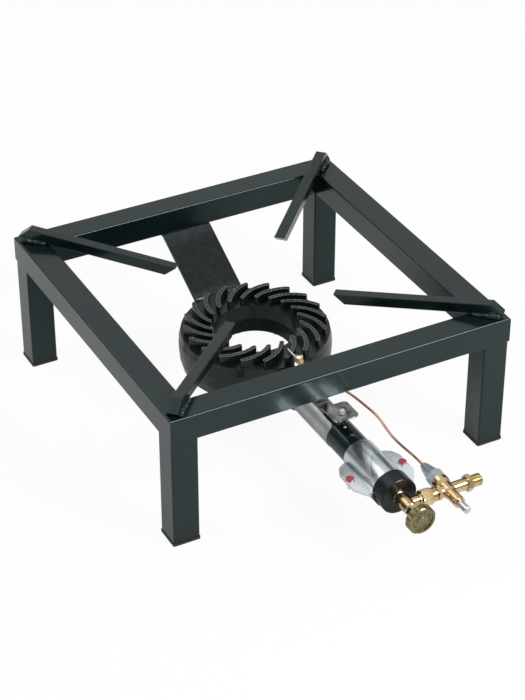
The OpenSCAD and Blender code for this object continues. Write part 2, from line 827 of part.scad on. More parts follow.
// A cone between two stations with its radius at each
module cone(from, r_from, to, r_to) {
  translate([0, 0, from])
    cylinder(h = to - from, r1 = r_from, r2 = r_to);
}

// A hexagon between two stations, with its corner edges turned off at both ends
module hexagon(from, to, r) {
  bevel = r * hex_chamfer_share;
  intersection() {
    translate([0, 0, from])
      cylinder(h = to - from, r = r, $fn = 6);
    union() {
      cone(from, r - bevel, from + bevel, r);
      rod(from + bevel, to - bevel, r);
      cone(to - bevel, r, to, r - bevel);
    }
  }
}

module rounded_square(w, r) {
  square([w - 2 * r, w], center = true);
  square([w, w - 2 * r], center = true);
  for (sx = [-1, 1], sy = [-1, 1])
    translate([sx * (w / 2 - r), sy * (w / 2 - r)])
      circle(r = r);
}

module rounded_rectangle(w, d, r) {
  square([w - 2 * r, d], center = true);
  square([w, d - 2 * r], center = true);
  for (sx = [-1, 1], sy = [-1, 1])
    translate([sx * (w / 2 - r), sy * (d / 2 - r)])
      circle(r = r);
}

module tube_profile() {
  difference() {
    rounded_square(tube_w, tube_r);
    rounded_square(tube_w - 2 * tube_wall, tube_inner_r);
  }
}

// A profile drawn in a plane that stands across X, extruded along X and centred
module across(width) {
  translate([-width / 2, 0, 0])
    rotate([90, 0, 90])
      linear_extrude(width)
        children();
}

// A mitred rail of the frame, turned to its side
module rail(turn) {
  color(paint)
    rotate(turn)
      intersection() {
        translate([0, -front_y + tube_w / 2, frame_h - tube_w / 2])
          across(frame_side)
            tube_profile();
        translate([0, 0, rail_bottom - cut])
          linear_extrude(tube_w + 2 * cut)
            polygon([
              [-front_y, -front_y],
              [front_y, -front_y],
              [rail_in, -rail_in],
              [-rail_in, -rail_in]
            ]);
      }
}

module leg(turn) {
  color(paint)
    rotate(turn)
      translate([-leg_centre, -leg_centre, cap_flange_h])
        linear_extrude(rail_bottom - cap_flange_h)
          tube_profile();
}

// A foot cap: a flange under the leg and a hollow plug inside it
module foot(turn) {
  flange_w = tube_w + 2 * cap_lip;
  plug_w = tube_w - 2 * (tube_wall + cap_gap);
  color("#15181a")
    rotate(turn)
      translate([-leg_centre, -leg_centre, 0])
        difference() {
          union() {
            linear_extrude(cap_flange_h)
              rounded_square(flange_w, tube_r);
            linear_extrude(cap_flange_h + cap_plug_h)
              rounded_square(plug_w, tube_inner_r);
          }
          translate([0, 0, cap_flange_h])
            linear_extrude(cap_plug_h + cut)
              rounded_square(plug_w - 2 * cap_plug_wall, tube_inner_r);
        }
}

// Children in the bar's own frame: X along the bar outwards, Z square to it, zero at the rail's corner
module bar_frame() {
  rotate(225)
    translate([corner_in_r, 0, frame_h + bar_lift])
      rotate([0, -bar_slope, 0])
        children();
}

bar_rise = bar_w * sin(bar_slope);
bar_from = (bar_tip_r - corner_in_r + bar_rise) / cos(bar_slope);
bar_to = (corner_out_r - bar_end_inset - corner_in_r + bar_rise) / cos(bar_slope);
bar_undercut = bar_w / tan(bar_cut);

module bar_solid() {
  bar_frame()
    intersection() {
      translate([(bar_from + bar_to + bar_undercut) / 2, 0, bar_w / 2])
        across(bar_to - bar_from + 2 * bar_undercut)
          rounded_square(bar_w, bar_edge_r);
      translate([0, bar_w / 2 + cut, 0])
        rotate([90, 0, 0])
          linear_extrude(bar_w + 2 * cut)
            polygon([
              [bar_from, bar_w],
              [bar_to, bar_w],
              [bar_to + bar_undercut, 0],
              [bar_from + bar_undercut, 0]
            ]);
    }
}

module pot_bar(turn) {
  color(paint)
    rotate(turn)
      bar_solid();
}

// The weld under each pot bar: a swelling bead, flat on the rails, cut by the bar
module bar_welds() {
  color(paint)
    for (turn = [0 : 90 : 270])
      rotate(turn)
        difference() {
          bar_frame() {
            translate([bead_r_small, 0, 0])
              rotate([0, 90, 0])
                cylinder(h = bead_len, r1 = bead_r_small, r2 = bead_r_large);
            translate([bead_r_small + bead_len, 0, 0])
              rotate([0, -45, 0])
                sphere(r = bead_r_large);
          }
          bar_solid();
          rotate(225)
            translate([0, -front_y, 0])
              cube([2 * front_y, 2 * front_y, frame_h]);
        }
}

// The ribs' common shape, drawn along the burner's +X
module rib() {
  height = rib_h + rib_root;
  translate([0, 0, deck_z - rib_root]) {
    translate([rib_centre[0], rib_centre[1], 0])
      rotate(rib_end)
        rotate_extrude(angle = rib_start - rib_end)
          translate([rib_bend_r - rib_w / 2, 0])
            square([rib_w, height]);
    for (p = [rib_a, rib_b])
      translate([p[0], p[1], 0])
        cylinder(h = height, r = rib_w / 2 - rib_end_step);
  }
}

module rib_ports() {
  for (i = [0 : port_count - 1]) {
    a = rib_start + (rib_end - rib_start) * i / (port_count - 1);
    translate([rib_centre[0] + rib_bend_r * cos(a), rib_centre[1] + rib_bend_r * sin(a), deck_z - cast_wall - cut])
      cylinder(h = cast_wall + rib_h + 2 * cut, r = port_r, $fn = 16);
  }
}

module at_pillars() {
  for (i = [0 : pillar_count - 1])
    rotate(pillar_turn + i * pillar_step)
      translate([boss_circle_r, 0, 0])
        children();
}

// The upper casting: deck, skirt, inner wall and the swirl of drilled ribs
module burner_ring() {
  skirt_r = ring_top_r + (bulge_r - ring_top_r) * skirt_swell_share;
  color(iron)
    difference() {
      union() {
        translate([0, 0, joint_z])
          rotate_extrude($fn = 128)
            polygon([
              [cover_in_r, 0],
              [ring_in_r, cover_h],
              [ring_top_r, cover_h],
              [skirt_r, cover_h * skirt_height_share],
              [bulge_r, 0],
              [bulge_r - cast_wall, 0],
              [ring_top_r - cast_wall, cover_h - cast_wall],
              [ring_in_r + cast_wall, cover_h - cast_wall],
              [cover_in_r + cast_wall, 0]
            ]);
        for (i = [0 : rib_count - 1])
          rotate(rib_phase + i * rib_pitch)
            rib();
        at_pillars()
          rod(joint_z, deck_z - rib_root, pillar_r);
      }
      for (i = [0 : rib_count - 1])
        rotate(rib_phase + i * rib_pitch)
          rib_ports();
      at_pillars()
        rod(joint_z - cut, joint_z + ring_screw_grip, ring_screw_r + thread_gap);
    }
}

// The lower casting: gas channel, screw bosses and the neck that takes the mixing tube
module burner_base() {
  waist_z = base_h * waist_share;
  shoulder_z = base_h * shoulder_share;
  shoulder_r = foot_out_r + (bulge_r - foot_out_r) * shoulder_swell_share;
  color(iron)
    difference() {
      union() {
        translate([0, 0, foot_z])
          rotate_extrude($fn = 128)
            polygon([
              [sole_r, 0],
              [foot_out_r, 0],
              [shoulder_r, shoulder_z],
              [bulge_r, base_h],
              [base_in_r, base_h],
              [waist_r, waist_z]
            ]);
        front_axis(0, tube_z)
          rod(neck_start, neck_end, neck_r);
        translate([tip_x - pad_w / 2, -neck_end, tube_z])
          cube([pad_w, neck_end - neck_start, neck_r + pad_h]);
      }
      difference() {
        translate([0, 0, foot_z])
          rotate_extrude($fn = 128)
            polygon([
              [sole_r + cast_wall / 2, cast_wall],
              [foot_out_r - cast_wall / 2, cast_wall],
              [shoulder_r - cast_wall, shoulder_z],
              [bulge_r - cast_wall, base_h],
              [bulge_r - cast_wall, base_h + cut],
              [base_in_r + cast_wall, base_h + cut],
              [base_in_r + cast_wall, base_h],
              [waist_r + cast_wall, waist_z + cast_wall / 2]
            ]);
        at_pillars()
          rod(foot_z, joint_z, base_boss_r);
        for (sx = [-1, 1])
          translate([sx * strap_screw_x, strap_screw_y, 0])
            rod(foot_z, foot_z + strap_thread + strap_screw_r, strap_boss_r);
      }
      translate([0, 0, joint_z])
        cylinder(h = cover_h + neck_r, r = bulge_r + seat_gap, $fn = 128);
      front_axis(0, tube_z) {
        rod(socket_s, neck_end + cut, mix_r + thread_gap);
        rod(bulge_r - 2 * cast_wall, socket_s + cut, neck_bore_r);
      }
      at_pillars()
        rod(foot_z - cut, joint_z + cut, ring_screw_r + seat_gap);
      for (sx = [-1, 1])
        translate([sx * strap_screw_x, strap_screw_y, 0])
          rod(foot_z - cut, foot_z + strap_thread, strap_screw_r + thread_gap);
      translate([tip_x, -stand_screw_s, 0])
        rod(pad_z - stand_grip - thread_gap, pad_z + cut, stand_screw_r + thread_gap);
    }
}

// Screws that hold the two castings together from below
module ring_screws() {
  color("#4a4d4e")
    at_pillars()
      difference() {
        union() {
          rod(foot_z - ring_head_h, foot_z, ring_head_r);
          rod(foot_z, joint_z + ring_screw_grip - thread_gap, ring_screw_r);
        }
        translate([0, 0, foot_z - ring_head_h - cut])
          cylinder(h = cut + ring_head_h / 2, r = ring_screw_r * ring_key_share, $fn = 6);
      }
}

module air_slots(from, to, w) {
  for (side = [-1, 1])
    rotate(side * air_slot_angle)
      rotate([90, 0, 0])
        linear_extrude(2 * mix_r)
          translate([0, (from + to) / 2])
            rounded_rectangle(w, to - from, w / 2 - thread_gap);
}

// The mixing tube with its two air slots underneath
module mixing_tube() {
  color(paint)
    front_axis(0, tube_z)
      difference() {
        rod(socket_s + seat_gap, tube_front_s, mix_r);
        rod(socket_s, tube_front_s + cut, mix_r - mix_wall);
        air_slots(slot_s - air_slot_len / 2, slot_s + air_slot_len / 2, air_slot_w);
      }
}

// The flat strap that hangs the burner from the back rail
strap_path = eased([
  [rail_in + strap_land, rail_bottom],
  [rail_in, rail_bottom],
  [strap_y, rail_bottom - strap_fall],
  [strap_y, foot_z],
  [strap_y - strap_lip, foot_z]
], strap_bend_r, 4);

module rear_strap() {
  color(paint)
    difference() {
      across(strap_w)
        polygon(band(strap_path, strap_t));
      for (sx = [-1, 1])
        translate([sx * strap_screw_x, strap_screw_y, 0])
          rod(foot_z - strap_t - cut, foot_z + cut, strap_screw_r + seat_gap);
    }
}

// Weld beads along both sides of the strap's land
module strap_welds() {
  color(paint)
    for (sx = [-1, 1])
      difference() {
        translate([sx * strap_w / 2, rail_in + strap_land, rail_bottom - strap_bead_r / 2])
          rotate([90, 0, 0])
            cylinder(h = strap_land - strap_bend_r, r = strap_bead_r);
        translate([-strap_w / 2, rail_in, rail_bottom - strap_t - strap_bead_r])
          cube([strap_w, strap_land + cut, strap_t + strap_bead_r]);
        translate([-strap_w, rail_in, rail_bottom])
          cube([2 * strap_w, strap_land + cut, strap_bead_r]);
      }
}

module strap_screws() {
  color(steel)
    for (sx = [-1, 1])
      translate([sx * strap_screw_x, strap_screw_y, foot_z - strap_t]) {
        hexagon(-strap_head_h, 0, strap_head_r);
        rod(-cut, strap_t + strap_thread - thread_gap, strap_screw_r);
      }
}

// The bracket's side outline: lug, joggle, rear stretch, riser and land under the rail
bracket_path = eased([
  [-(lug_screw_s + lug_head_r), lug_top - lug_t],
  [-(joggle_s + joggle_run), lug_top - lug_t],
  [-joggle_s, lug_top - lug_t - joggle],
  [-riser_s, lug_top - lug_t - joggle],
  [-riser_s, rail_bottom],
  [-(riser_s + bracket_land), rail_bottom]
], bracket_bend_r, 3);

module front_bracket() {
  color("#6b6f6c")
    difference() {
      union() {
        translate([(lug_neck_w - lug_w) / 2, 0, 0])
          across(lug_neck_w)
            polygon(band(bracket_path, lug_t));
        translate([0, -(lug_front_s - lug_len / 2), lug_top - lug_t])
          linear_extrude(lug_t)
            rounded_rectangle(lug_w, lug_len, lug_r);
      }
      translate([0, -lug_screw_s, 0])
        rod(lug_top - lug_t - cut, lug_top + cut, lug_screw_r + seat_gap);
    }
}

// The boss between the lug and the mixing tube, saddled on the tube
module bracket_boss() {
  color(paint)
    difference() {
      translate([0, -lug_screw_s, 0])
        rod(tube_z + mix_r / 2, lug_top - lug_t, lug_boss_r);
      front_axis(0, tube_z)
        rod(front_y / 2, front_y + lug_reach + lug_boss_r, mix_r + seat_gap);
      translate([0, -lug_screw_s, 0])
        rod(tube_z, lug_top, lug_screw_r + thread_gap);
    }
}

module bracket_screw() {
  color(steel)
    translate([0, -lug_screw_s, 0])
      difference() {
        union() {
          cone(lug_top, lug_head_r, lug_top + lug_head_h, lug_head_r * lug_dome_share);
          rod(lug_top - lug_screw_len, lug_top + cut, lug_screw_r);
        }
        translate([0, 0, lug_top + lug_head_h / 3])
          cylinder(h = lug_head_h, r = lug_hex_r, $fn = 6);
      }
}

// One half of the air sleeve, drawn as the upper half round the front axis
module sleeve_half(len) {
  ear_w = ear_reach - ear_root_x;
  difference() {
    union() {
      rotate_extrude(angle = 180)
        translate([mix_r + sleeve_gap, sleeve_s])
          square([sleeve_t, len]);
      for (side = [0, 1])
        mirror([side, 0, 0])
          translate([0, ear_gap + sleeve_t, 0])
            rotate([90, 0, 0])
              linear_extrude(sleeve_t)
                polygon([
                  [ear_root_x, sleeve_s + ear_rear],
                  [
                    ear_root_x + ear_w * ear_low_share,
                    sleeve_s + ear_rear + ear_rise * ear_low_rise_share
                  ],
                  [
                    ear_root_x + ear_w * ear_high_share,
                    sleeve_s + ear_rear + ear_rise * ear_high_rise_share
                  ],
                  [ear_reach, sleeve_s + ear_rear + ear_rise],
                  [ear_reach, cup_s + ear_overlap - ear_fall],
                  [ear_root_x + ear_w * ear_tip_share, cup_s + ear_overlap],
                  [cup_r + ear_clear, cup_s + ear_overlap],
                  [cup_r + ear_clear, cup_s - ear_clear],
                  [ear_root_x, cup_s - ear_clear]
                ]);
    }
    translate([-sleeve_r - cut, -sleeve_r, sleeve_s - cut])
      cube([2 * (sleeve_r + cut), sleeve_r + ear_gap, sleeve_len + 2 * cut]);
    for (sx = [-1, 1])
      translate([sx * clamp_x, 0, clamp_s])
        rotate([-90, 0, 0])
          rod(-cut, sleeve_t + ear_gap + cut, clamp_r + seat_gap);
  }
}

module sleeve_upper() {
  color("#aeb6b8")
    front_axis(0, tube_z)
      sleeve_half(sleeve_len - ear_clear);
}

// The lower half, with the windows that meter the air
module sleeve_lower() {
  color("#a3abad")
    front_axis(0, tube_z)
      difference() {
        mirror([0, 1, 0])
          sleeve_half(sleeve_len - sleeve_trim - ear_clear);
        air_slots(
          slot_s - air_slot_len / 2 + window_shift,
          slot_s + air_slot_len / 2 + window_shift,
          air_slot_w
        );
      }
}

module at_clamps() {
  for (sx = [-1, 1])
    translate([sx * clamp_x, -clamp_s, tube_z])
      children();
}

module clamp_screws() {
  color(steel)
    at_clamps() {
      rod(ear_gap + sleeve_t, ear_gap + sleeve_t + clamp_head_h, clamp_head_r);
      rod(ear_gap + sleeve_t - clamp_len, ear_gap + sleeve_t + cut, clamp_r);
    }
}

module clamp_nuts() {
  color("#8d9496")
    at_clamps()
      difference() {
        hexagon(-ear_gap - sleeve_t - clamp_nut_h, -ear_gap - sleeve_t, clamp_nut_r);
        rod(-ear_gap - sleeve_t - clamp_nut_h - cut, cut, clamp_r + thread_gap);
      }
}

// Sealing caps that lock the clamp screws
module screw_seals() {
  seal_r = clamp_head_r + thread_gap + seal_wall;
  low = ear_gap + sleeve_t;
  top = low + clamp_head_h + thread_gap + seal_wall;
  color("#b3122a")
    at_clamps()
      difference() {
        union() {
          rod(low, top - seal_wall, seal_r);
          cone(top - seal_wall, seal_r, top, seal_r * seal_dome_share);
        }
        rod(low - cut, top - seal_wall, clamp_head_r + thread_gap);
      }
}

// The end cup: a ring round the tube's end with a front wall and a lip under the sleeve
module end_cup() {
  lip_drop = ear_gap + sleeve_t + ear_clear;
  color("#17191a")
    front_axis(0, tube_z) {
      difference() {
        rod(lip_s, cup_s + cup_lip_len, cup_lip_r);
        rod(lip_s - cut, cup_s + cup_lip_len + cut, mix_r + cup_gap);
        translate([-2 * cup_r, -lip_drop, lip_s - cut])
          cube([4 * cup_r, 2 * cup_r, sleeve_trim + cup_lip_len + 2 * cut]);
      }
      rotate_extrude()
        polygon([
          [mix_r + cup_gap, cup_s],
          [cup_r, cup_s],
          [cup_r, cup_e - cup_chamfer],
          [cup_r - cup_chamfer, cup_e],
          [injector_r + thread_gap, cup_e],
          [injector_r + thread_gap, cup_e - cup_front],
          [mix_r + cup_gap, cup_e - cup_front]
        ]);
    }
}

module injector_washer() {
  color(steel)
    front_axis(0, tube_z)
      difference() {
        rod(cup_e, hex_s, washer_r);
        rod(cup_e - cut, hex_s + cut, injector_r + thread_gap);
      }
}

// The injector: jet inside the tube, shank, hexagon and thread in the valve body
module injector() {
  inner_s = cup_e - cup_front;
  color(brass)
    front_axis(0, tube_z)
      difference() {
        union() {
          cone(inner_s - jet_len, jet_tip_r, inner_s, injector_r);
          rod(inner_s, hex_s, injector_r);
          hexagon(hex_s, body_s, injector_hex_r);
          rod(body_s - cut, body_s + injector_thread_len, injector_thread_r);
        }
        rod(inner_s - jet_len - cut, inner_s, jet_bore_r);
        rod(inner_s - jet_tip_r, body_s + injector_thread_len + cut, seat_r);
      }
}

// The regulating valve's body with its side arm
module valve_body() {
  color(brass)
    difference() {
      union() {
        front_axis(0, tube_z) {
          rod(body_s, gland_s - injector_hex_t / 2, valve_r);
          cone(gland_s - injector_hex_t / 2, valve_r, gland_s, gland_hex_r * cos(30));
        }
        side_axis() {
          rod(0, arm_len + cut, arm_r);
          rod(arm_len, thread_end_x, union_thread_r);
        }
      }
      front_axis(0, tube_z) {
        rod(body_s - cut, body_s + injector_thread_len + thread_gap, injector_thread_r + thread_gap);
        rod(body_s, gland_s, seat_r);
        rod(seat_end_s, gland_s, chamber_r);
        rod(gland_thread_s - thread_gap, gland_s + cut, gland_thread_r + thread_gap);
      }
      side_axis()
        rod(0, thread_end_x + cut, gas_way_r);
    }
}

module gland_nut() {
  color(brass)
    front_axis(0, tube_z)
      difference() {
        union() {
          hexagon(gland_s, gland_s + gland_hex_t, gland_hex_r);
          rod(gland_thread_s, gland_s + cut, gland_thread_r);
        }
        rod(gland_thread_s - cut, knob_s, spindle_r + run_gap);
      }
}

module gland_packing() {
  color("#2a2a2a")
    front_axis(0, tube_z)
      difference() {
        rod(packing_s, gland_thread_s - thread_gap, chamber_r - thread_gap);
        rod(packing_s - cut, gland_thread_s + cut, spindle_r + run_gap);
      }
}

// The spindle turns with the knob and drives the needle in its rear bore
module spindle() {
  color(brass)
    front_axis(0, tube_z)
      difference() {
        rod(spindle_start_s, knob_front_s - knob_recess_t - knob_blind, spindle_r);
        rod(
          spindle_start_s - cut,
          spindle_start_s + needle_shank_len,
          needle_r + run_gap
        );
      }
}

// The needle slides without turning
module needle() {
  color(steel)
    front_axis(0, tube_z) {
      cone(needle_start_s - needle_cone_len, needle_tip_r, needle_start_s, needle_cone_r);
      rod(needle_start_s - thread_gap, needle_start_s + needle_shank_len, needle_r);
    }
}

// The knob: hub, fluted disc, bevelled face with a recess and a raised centre
module knob() {
  recess_s = knob_front_s - knob_recess_t;
  color("#a58a45")
    front_axis(0, tube_z)
      difference() {
        union() {
          rod(knob_s, disc_s + cut, knob_hub_r);
          difference() {
            union() {
              cone(disc_s, knob_r - knob_chamfer, disc_s + knob_chamfer, knob_r);
              rod(disc_s + knob_chamfer, knob_front_s - knob_chamfer, knob_r);
              cone(knob_front_s - knob_chamfer, knob_r, knob_front_s, knob_r - knob_chamfer);
            }
            for (i = [0 : flute_count - 1])
              rotate(360 * i / flute_count)
                translate([knob_r + flute_r - flute_depth, 0, 0])
                  rod(disc_s - cut, knob_front_s + cut, flute_r);
            difference() {
              rod(recess_s, knob_front_s + cut, knob_recess_r);
              rod(recess_s - cut, knob_front_s - knob_recess_t / 4, knob_centre_r);
            }
          }
        }
        rod(knob_s - cut, recess_s - knob_blind + thread_gap, spindle_r + thread_gap);
      }
}

module union_nut() {
  color(brass)
    side_axis()
      difference() {
        union() {
          hexagon(union_start, union_hex_end, union_hex_r);
          rod(union_hex_end - cut, union_end, union_collar_r);
        }
        rod(union_start - cut, flange_end_x + thread_gap, union_thread_r + thread_gap);
        rod(flange_end_x, union_end + cut, nipple_r + seat_gap);
      }
}

// The nipple that joins the two valves: flange, neck, hexagon and thread
module outlet_nipple() {
  color(brass)
    side_axis()
      difference() {
        union() {
          rod(thread_end_x, flange_end_x, union_thread_r - thread_gap);
          rod(flange_end_x - cut, nipple_hex_x + cut, nipple_r);
          hexagon(nipple_hex_x, nipple_end_x, nipple_hex_r);
          rod(nipple_end_x - cut, nipple_end_x + nipple_thread_len, nipple_r);
        }
        rod(thread_end_x - cut, nipple_end_x + nipple_thread_len + cut, nipple_way_r);
      }
}

// The flame failure valve's cross-shaped body with its chambers, seat and feed drilling
module safety_body() {
  feed_end_s = rear_arm_s + rear_arm_len / 3;
  color(brass)
    difference() {
      union() {
        side_axis()
          rod(nipple_end_x, inlet_arm_x, side_arm_r);
        front_axis(safety_x, tube_z)
          rotate_extrude()
            polygon([
              [0, rear_arm_s],
              [rear_arm_r, rear_arm_s],
              [rear_arm_r, rear_arm_s + rear_arm_len * rear_arm_share],
              [core_r, cross_s - core_half],
              [core_r, cross_s + core_half],
              [button_arm_r, cross_s + core_half + core_taper],
              [button_arm_r, arm_front_s],
              [0, arm_front_s]
            ]);
      }
      side_axis() {
        rod(nipple_end_x - cut, nipple_end_x + nipple_thread_len + thread_gap, nipple_r + thread_gap);
        rod(nipple_end_x, safety_x, nipple_way_r);
        rod(inlet_arm_x - inlet_spigot_len - thread_gap, inlet_arm_x + cut, inlet_spigot_r + thread_gap);
        rod(safety_x + feed_offset, inlet_arm_x, inlet_way_r);
      }
      front_axis(safety_x, tube_z) {
        rod(seat_s, guide_wall_s, front_chamber_r);
        rod(rear_room_s - cut, seat_s + cut, safety_seat_r);
        rod(rear_arm_s - cut, rear_room_s, rear_chamber_r);
        rod(guide_wall_s - cut, spring_room_s + cut, stem_r + run_gap);
        rod(spring_room_s, arm_front_s + cut, spring_room_r);
      }
      front_axis(safety_x + feed_offset, tube_z)
        rod(feed_end_s, cross_s, feed_r);
    }
}

module inlet_connector() {
  color(brass)
    side_axis()
      difference() {
        union() {
          rod(inlet_arm_x - inlet_spigot_len, inlet_arm_x + cut, inlet_spigot_r);
          hexagon(inlet_arm_x, inlet_hex_x, inlet_hex_r);
          rod(inlet_hex_x - cut, inlet_end_x - inlet_chamfer, inlet_thread_r);
          cone(inlet_end_x - inlet_chamfer, inlet_thread_r, inlet_end_x, inlet_thread_r - inlet_chamfer);
        }
        rod(inlet_arm_x - inlet_spigot_len - cut, inlet_end_x + cut, inlet_bore_r);
      }
}

// The bush that guides the button in the arm's end
module button_guide() {
  color(brass)
    front_axis(safety_x, tube_z)
      difference() {
        union() {
          rod(bush_s, arm_front_s + cut / 2, spring_room_r - bush_thread_gap);
          rod(arm_front_s, arm_front_s + bush_rim_t, button_arm_r);
        }
        rod(bush_s - cut, arm_front_s + bush_rim_t + cut, button_r + run_gap);
      }
}

// The button with the stem that pushes the sealing disc off its seat
module button() {
  color("#9aa0a2")
    front_axis(safety_x, tube_z) {
      rod(collar_s + collar_t - cut, button_front_s - button_chamfer, button_r);
      cone(button_front_s - button_chamfer, button_r, button_front_s, button_r - button_chamfer);
      rod(collar_s, collar_s + collar_t, collar_r);
      rod(disc_rest_s, collar_s + cut / 2, stem_r);
      rod(disc_rest_s - disc_t, disc_rest_s + cut, disc_stem_r);
    }
}

module button_spring() {
  color(steel)
    front_axis(safety_x, tube_z)
      translate([0, 0, spring_room_s + spring_end_gap + wire_r])
        swept(spring_line, wire_r, 6, [0, 0, 1]);
}

module safety_disc() {
  color("#26282a")
    front_axis(safety_x, tube_z)
      difference() {
        rod(disc_rest_s - disc_t, disc_rest_s, disc_r);
        rod(disc_rest_s - disc_t - cut, disc_rest_s + cut, disc_stem_r + disc_hole_gap);
      }
}

// The magnet unit's nut: hexagon, cone and the cavity that holds the magnet
module magnet_nut() {
  color("#9ba3a8")
    front_axis(safety_x, tube_z)
      difference() {
        union() {
          hexagon(magnet_hex_s, magnet_front_s, magnet_hex_r);
          cone(magnet_end_s, magnet_end_r, magnet_hex_s + cut, magnet_cone_r);
          rod(magnet_front_s - cut, magnet_front_s + magnet_spigot, rear_chamber_r - thread_gap);
        }
        rod(magnet_face_s - magnet_len, magnet_front_s + magnet_spigot + cut, magnet_r + thread_gap);
      }
}

module magnet_core() {
  color("#5a5f63")
    front_axis(safety_x, tube_z)
      rod(magnet_face_s - magnet_len, magnet_face_s, magnet_r);
}

module lead_nut() {
  color("#b8793f")
    front_axis(safety_x, tube_z)
      difference() {
        hexagon(lead_nut_s, magnet_end_s, lead_nut_r);
        rod(lead_nut_s - cut, lead_nut_s + lead_nut_len / 2, lead_r + seat_gap);
      }
}

module thermocouple_lead() {
  color("#a8603a")
    swept(smooth(lead_route, lead_steps), lead_r, lead_sides, [0, 0, 1]);
}

module thermocouple_bush() {
  color(brass)
    front_axis(tip_x, tip_z) {
      hexagon(tip_stand + stand_t, bush_front_s, bush_hex_r);
      rod(bush_rear_s, tip_stand + stand_t + cut, bush_thread_r);
    }
}

module thermocouple_nut() {
  color(brass)
    front_axis(tip_x, tip_z)
      difference() {
        hexagon(tip_stand - bush_nut_t, tip_stand, bush_hex_r);
        rod(tip_stand - bush_nut_t - cut, tip_stand + cut, bush_thread_r + thread_gap);
      }
}

module thermocouple_tip() {
  color(steel)
    front_axis(tip_x, tip_z) {
      cone(tip_reach, tip_r * tip_point_share, tip_reach + tip_r, tip_r);
      rod(tip_reach + tip_r, bush_rear_s, tip_r);
    }
}

// The angled strip that holds the thermocouple over the ribs
module tip_bracket() {
  color(steel)
    difference() {
      translate([tip_x, 0, 0])
        across(stand_w)
          polygon(band(eased([
            [-(tip_stand + stand_foot), pad_z],
            [-tip_stand, pad_z],
            [-tip_stand, stand_top]
          ], stand_bend_r, 3), stand_t));
      front_axis(tip_x, tip_z)
        rod(tip_stand - cut, tip_stand + stand_t + cut, bush_thread_r + thread_gap);
      translate([tip_x, -stand_screw_s, 0])
        rod(pad_z - cut, pad_z + stand_t + cut, stand_screw_r + seat_gap);
    }
}

module tip_bracket_screw() {
  color("#777c7e")
    translate([tip_x, -stand_screw_s, 0]) {
      rod(pad_z + stand_t, pad_z + stand_t + stand_head_h, stand_head_r);
      rod(pad_z - stand_grip, pad_z + stand_t + cut, stand_screw_r);
    }
}

rail(0);  // rail_front
rail(90);  // rail_right
rail(180);  // rail_back
rail(270);  // rail_left
leg(0);  // leg_front_left
leg(90);  // leg_front_right
leg(180);  // leg_back_right
leg(270);  // leg_back_left
foot(0);  // foot_front_left
foot(90);  // foot_front_right
foot(180);  // foot_back_right
foot(270);  // foot_back_left
pot_bar(0);  // pot_bar_front_left
pot_bar(90);  // pot_bar_front_right
pot_bar(180);  // pot_bar_back_right
pot_bar(270);  // pot_bar_back_left
bar_welds();
rear_strap();
strap_welds();
strap_screws();
burner_ring();
burner_base();
ring_screws();
mixing_tube();
front_bracket();
bracket_boss();
bracket_screw();
sleeve_upper();
sleeve_lower();
clamp_screws();
clamp_nuts();
screw_seals();
end_cup();
injector_washer();
injector();
valve_body();
gland_nut();
gland_packing();
spindle();
needle();
knob();
union_nut();
outlet_nipple();
safety_body();
inlet_connector();
button_guide();
button();
button_spring();
safety_disc();
magnet_nut();
magnet_core();
lead_nut();
thermocouple_lead();
thermocouple_bush();
thermocouple_nut();
thermocouple_tip();
tip_bracket();
tip_bracket_screw();
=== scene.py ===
# Looks of the single burner gas hob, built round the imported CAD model. Metres, +Z up, origin on the floor.
import bpy
import bmesh
import json
import math
import random
from mathutils import Matrix, Vector


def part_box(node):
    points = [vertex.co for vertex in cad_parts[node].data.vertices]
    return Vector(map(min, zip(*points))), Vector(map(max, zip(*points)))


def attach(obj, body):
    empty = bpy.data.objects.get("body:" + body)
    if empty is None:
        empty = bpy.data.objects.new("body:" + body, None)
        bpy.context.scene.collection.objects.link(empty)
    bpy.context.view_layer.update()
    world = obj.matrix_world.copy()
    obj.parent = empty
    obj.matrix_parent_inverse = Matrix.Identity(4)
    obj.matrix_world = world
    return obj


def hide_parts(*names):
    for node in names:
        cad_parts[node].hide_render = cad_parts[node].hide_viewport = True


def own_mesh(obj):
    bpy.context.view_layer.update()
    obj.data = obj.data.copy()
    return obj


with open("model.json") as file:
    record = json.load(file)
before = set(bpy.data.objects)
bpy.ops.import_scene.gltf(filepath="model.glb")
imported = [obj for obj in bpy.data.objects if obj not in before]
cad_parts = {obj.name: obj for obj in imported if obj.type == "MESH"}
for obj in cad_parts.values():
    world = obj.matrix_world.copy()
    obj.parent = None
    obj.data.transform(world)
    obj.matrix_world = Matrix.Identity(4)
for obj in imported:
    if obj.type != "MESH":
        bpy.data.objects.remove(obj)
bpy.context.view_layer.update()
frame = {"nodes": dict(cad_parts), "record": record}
nodes = frame["nodes"]
scene = bpy.context.scene
MM = 0.001
FULL_TURN = 2 * math.pi
X, Y, Z = 0, 1, 2


# Places that the pieces share, read from the frame
def low(node, axis):
    """A node's lowest place along an axis, to a hundredth of a millimetre."""
    return round(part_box(node)[0][axis], 5)


def high(node, axis):
    """A node's highest place along an axis, to a hundredth of a millimetre."""
    return round(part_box(node)[1][axis], 5)


def middle(node, axis):
    """The middle of a node's box along an axis, to a hundredth of a millimetre."""
    return round((low(node, axis) + high(node, axis)) / 2, 5)


AXIS_Z = middle("mixing_tube", Z)
TUBE_R = high("mixing_tube", X)
CROSS_Y = middle("union_nut", Y)
RIB_TOP = high("burner_ring", Z)
RAIL_TOP = high("rail_front", Z)
INNER_CORNER = -high("rail_front", Y) * math.sqrt(2)

# Camera, at the photograph's viewing angle
CAMERA_AT = (-0.9211, -1.7537, 1.4029)
AZIMUTH = math.radians(27.94)
ELEVATION = math.radians(34.11)
FOCAL_PIXELS = 2150.5
PHOTO_WIDTH = 525
SENSOR_WIDTH = 36
FARTHEST_SEEN = 50


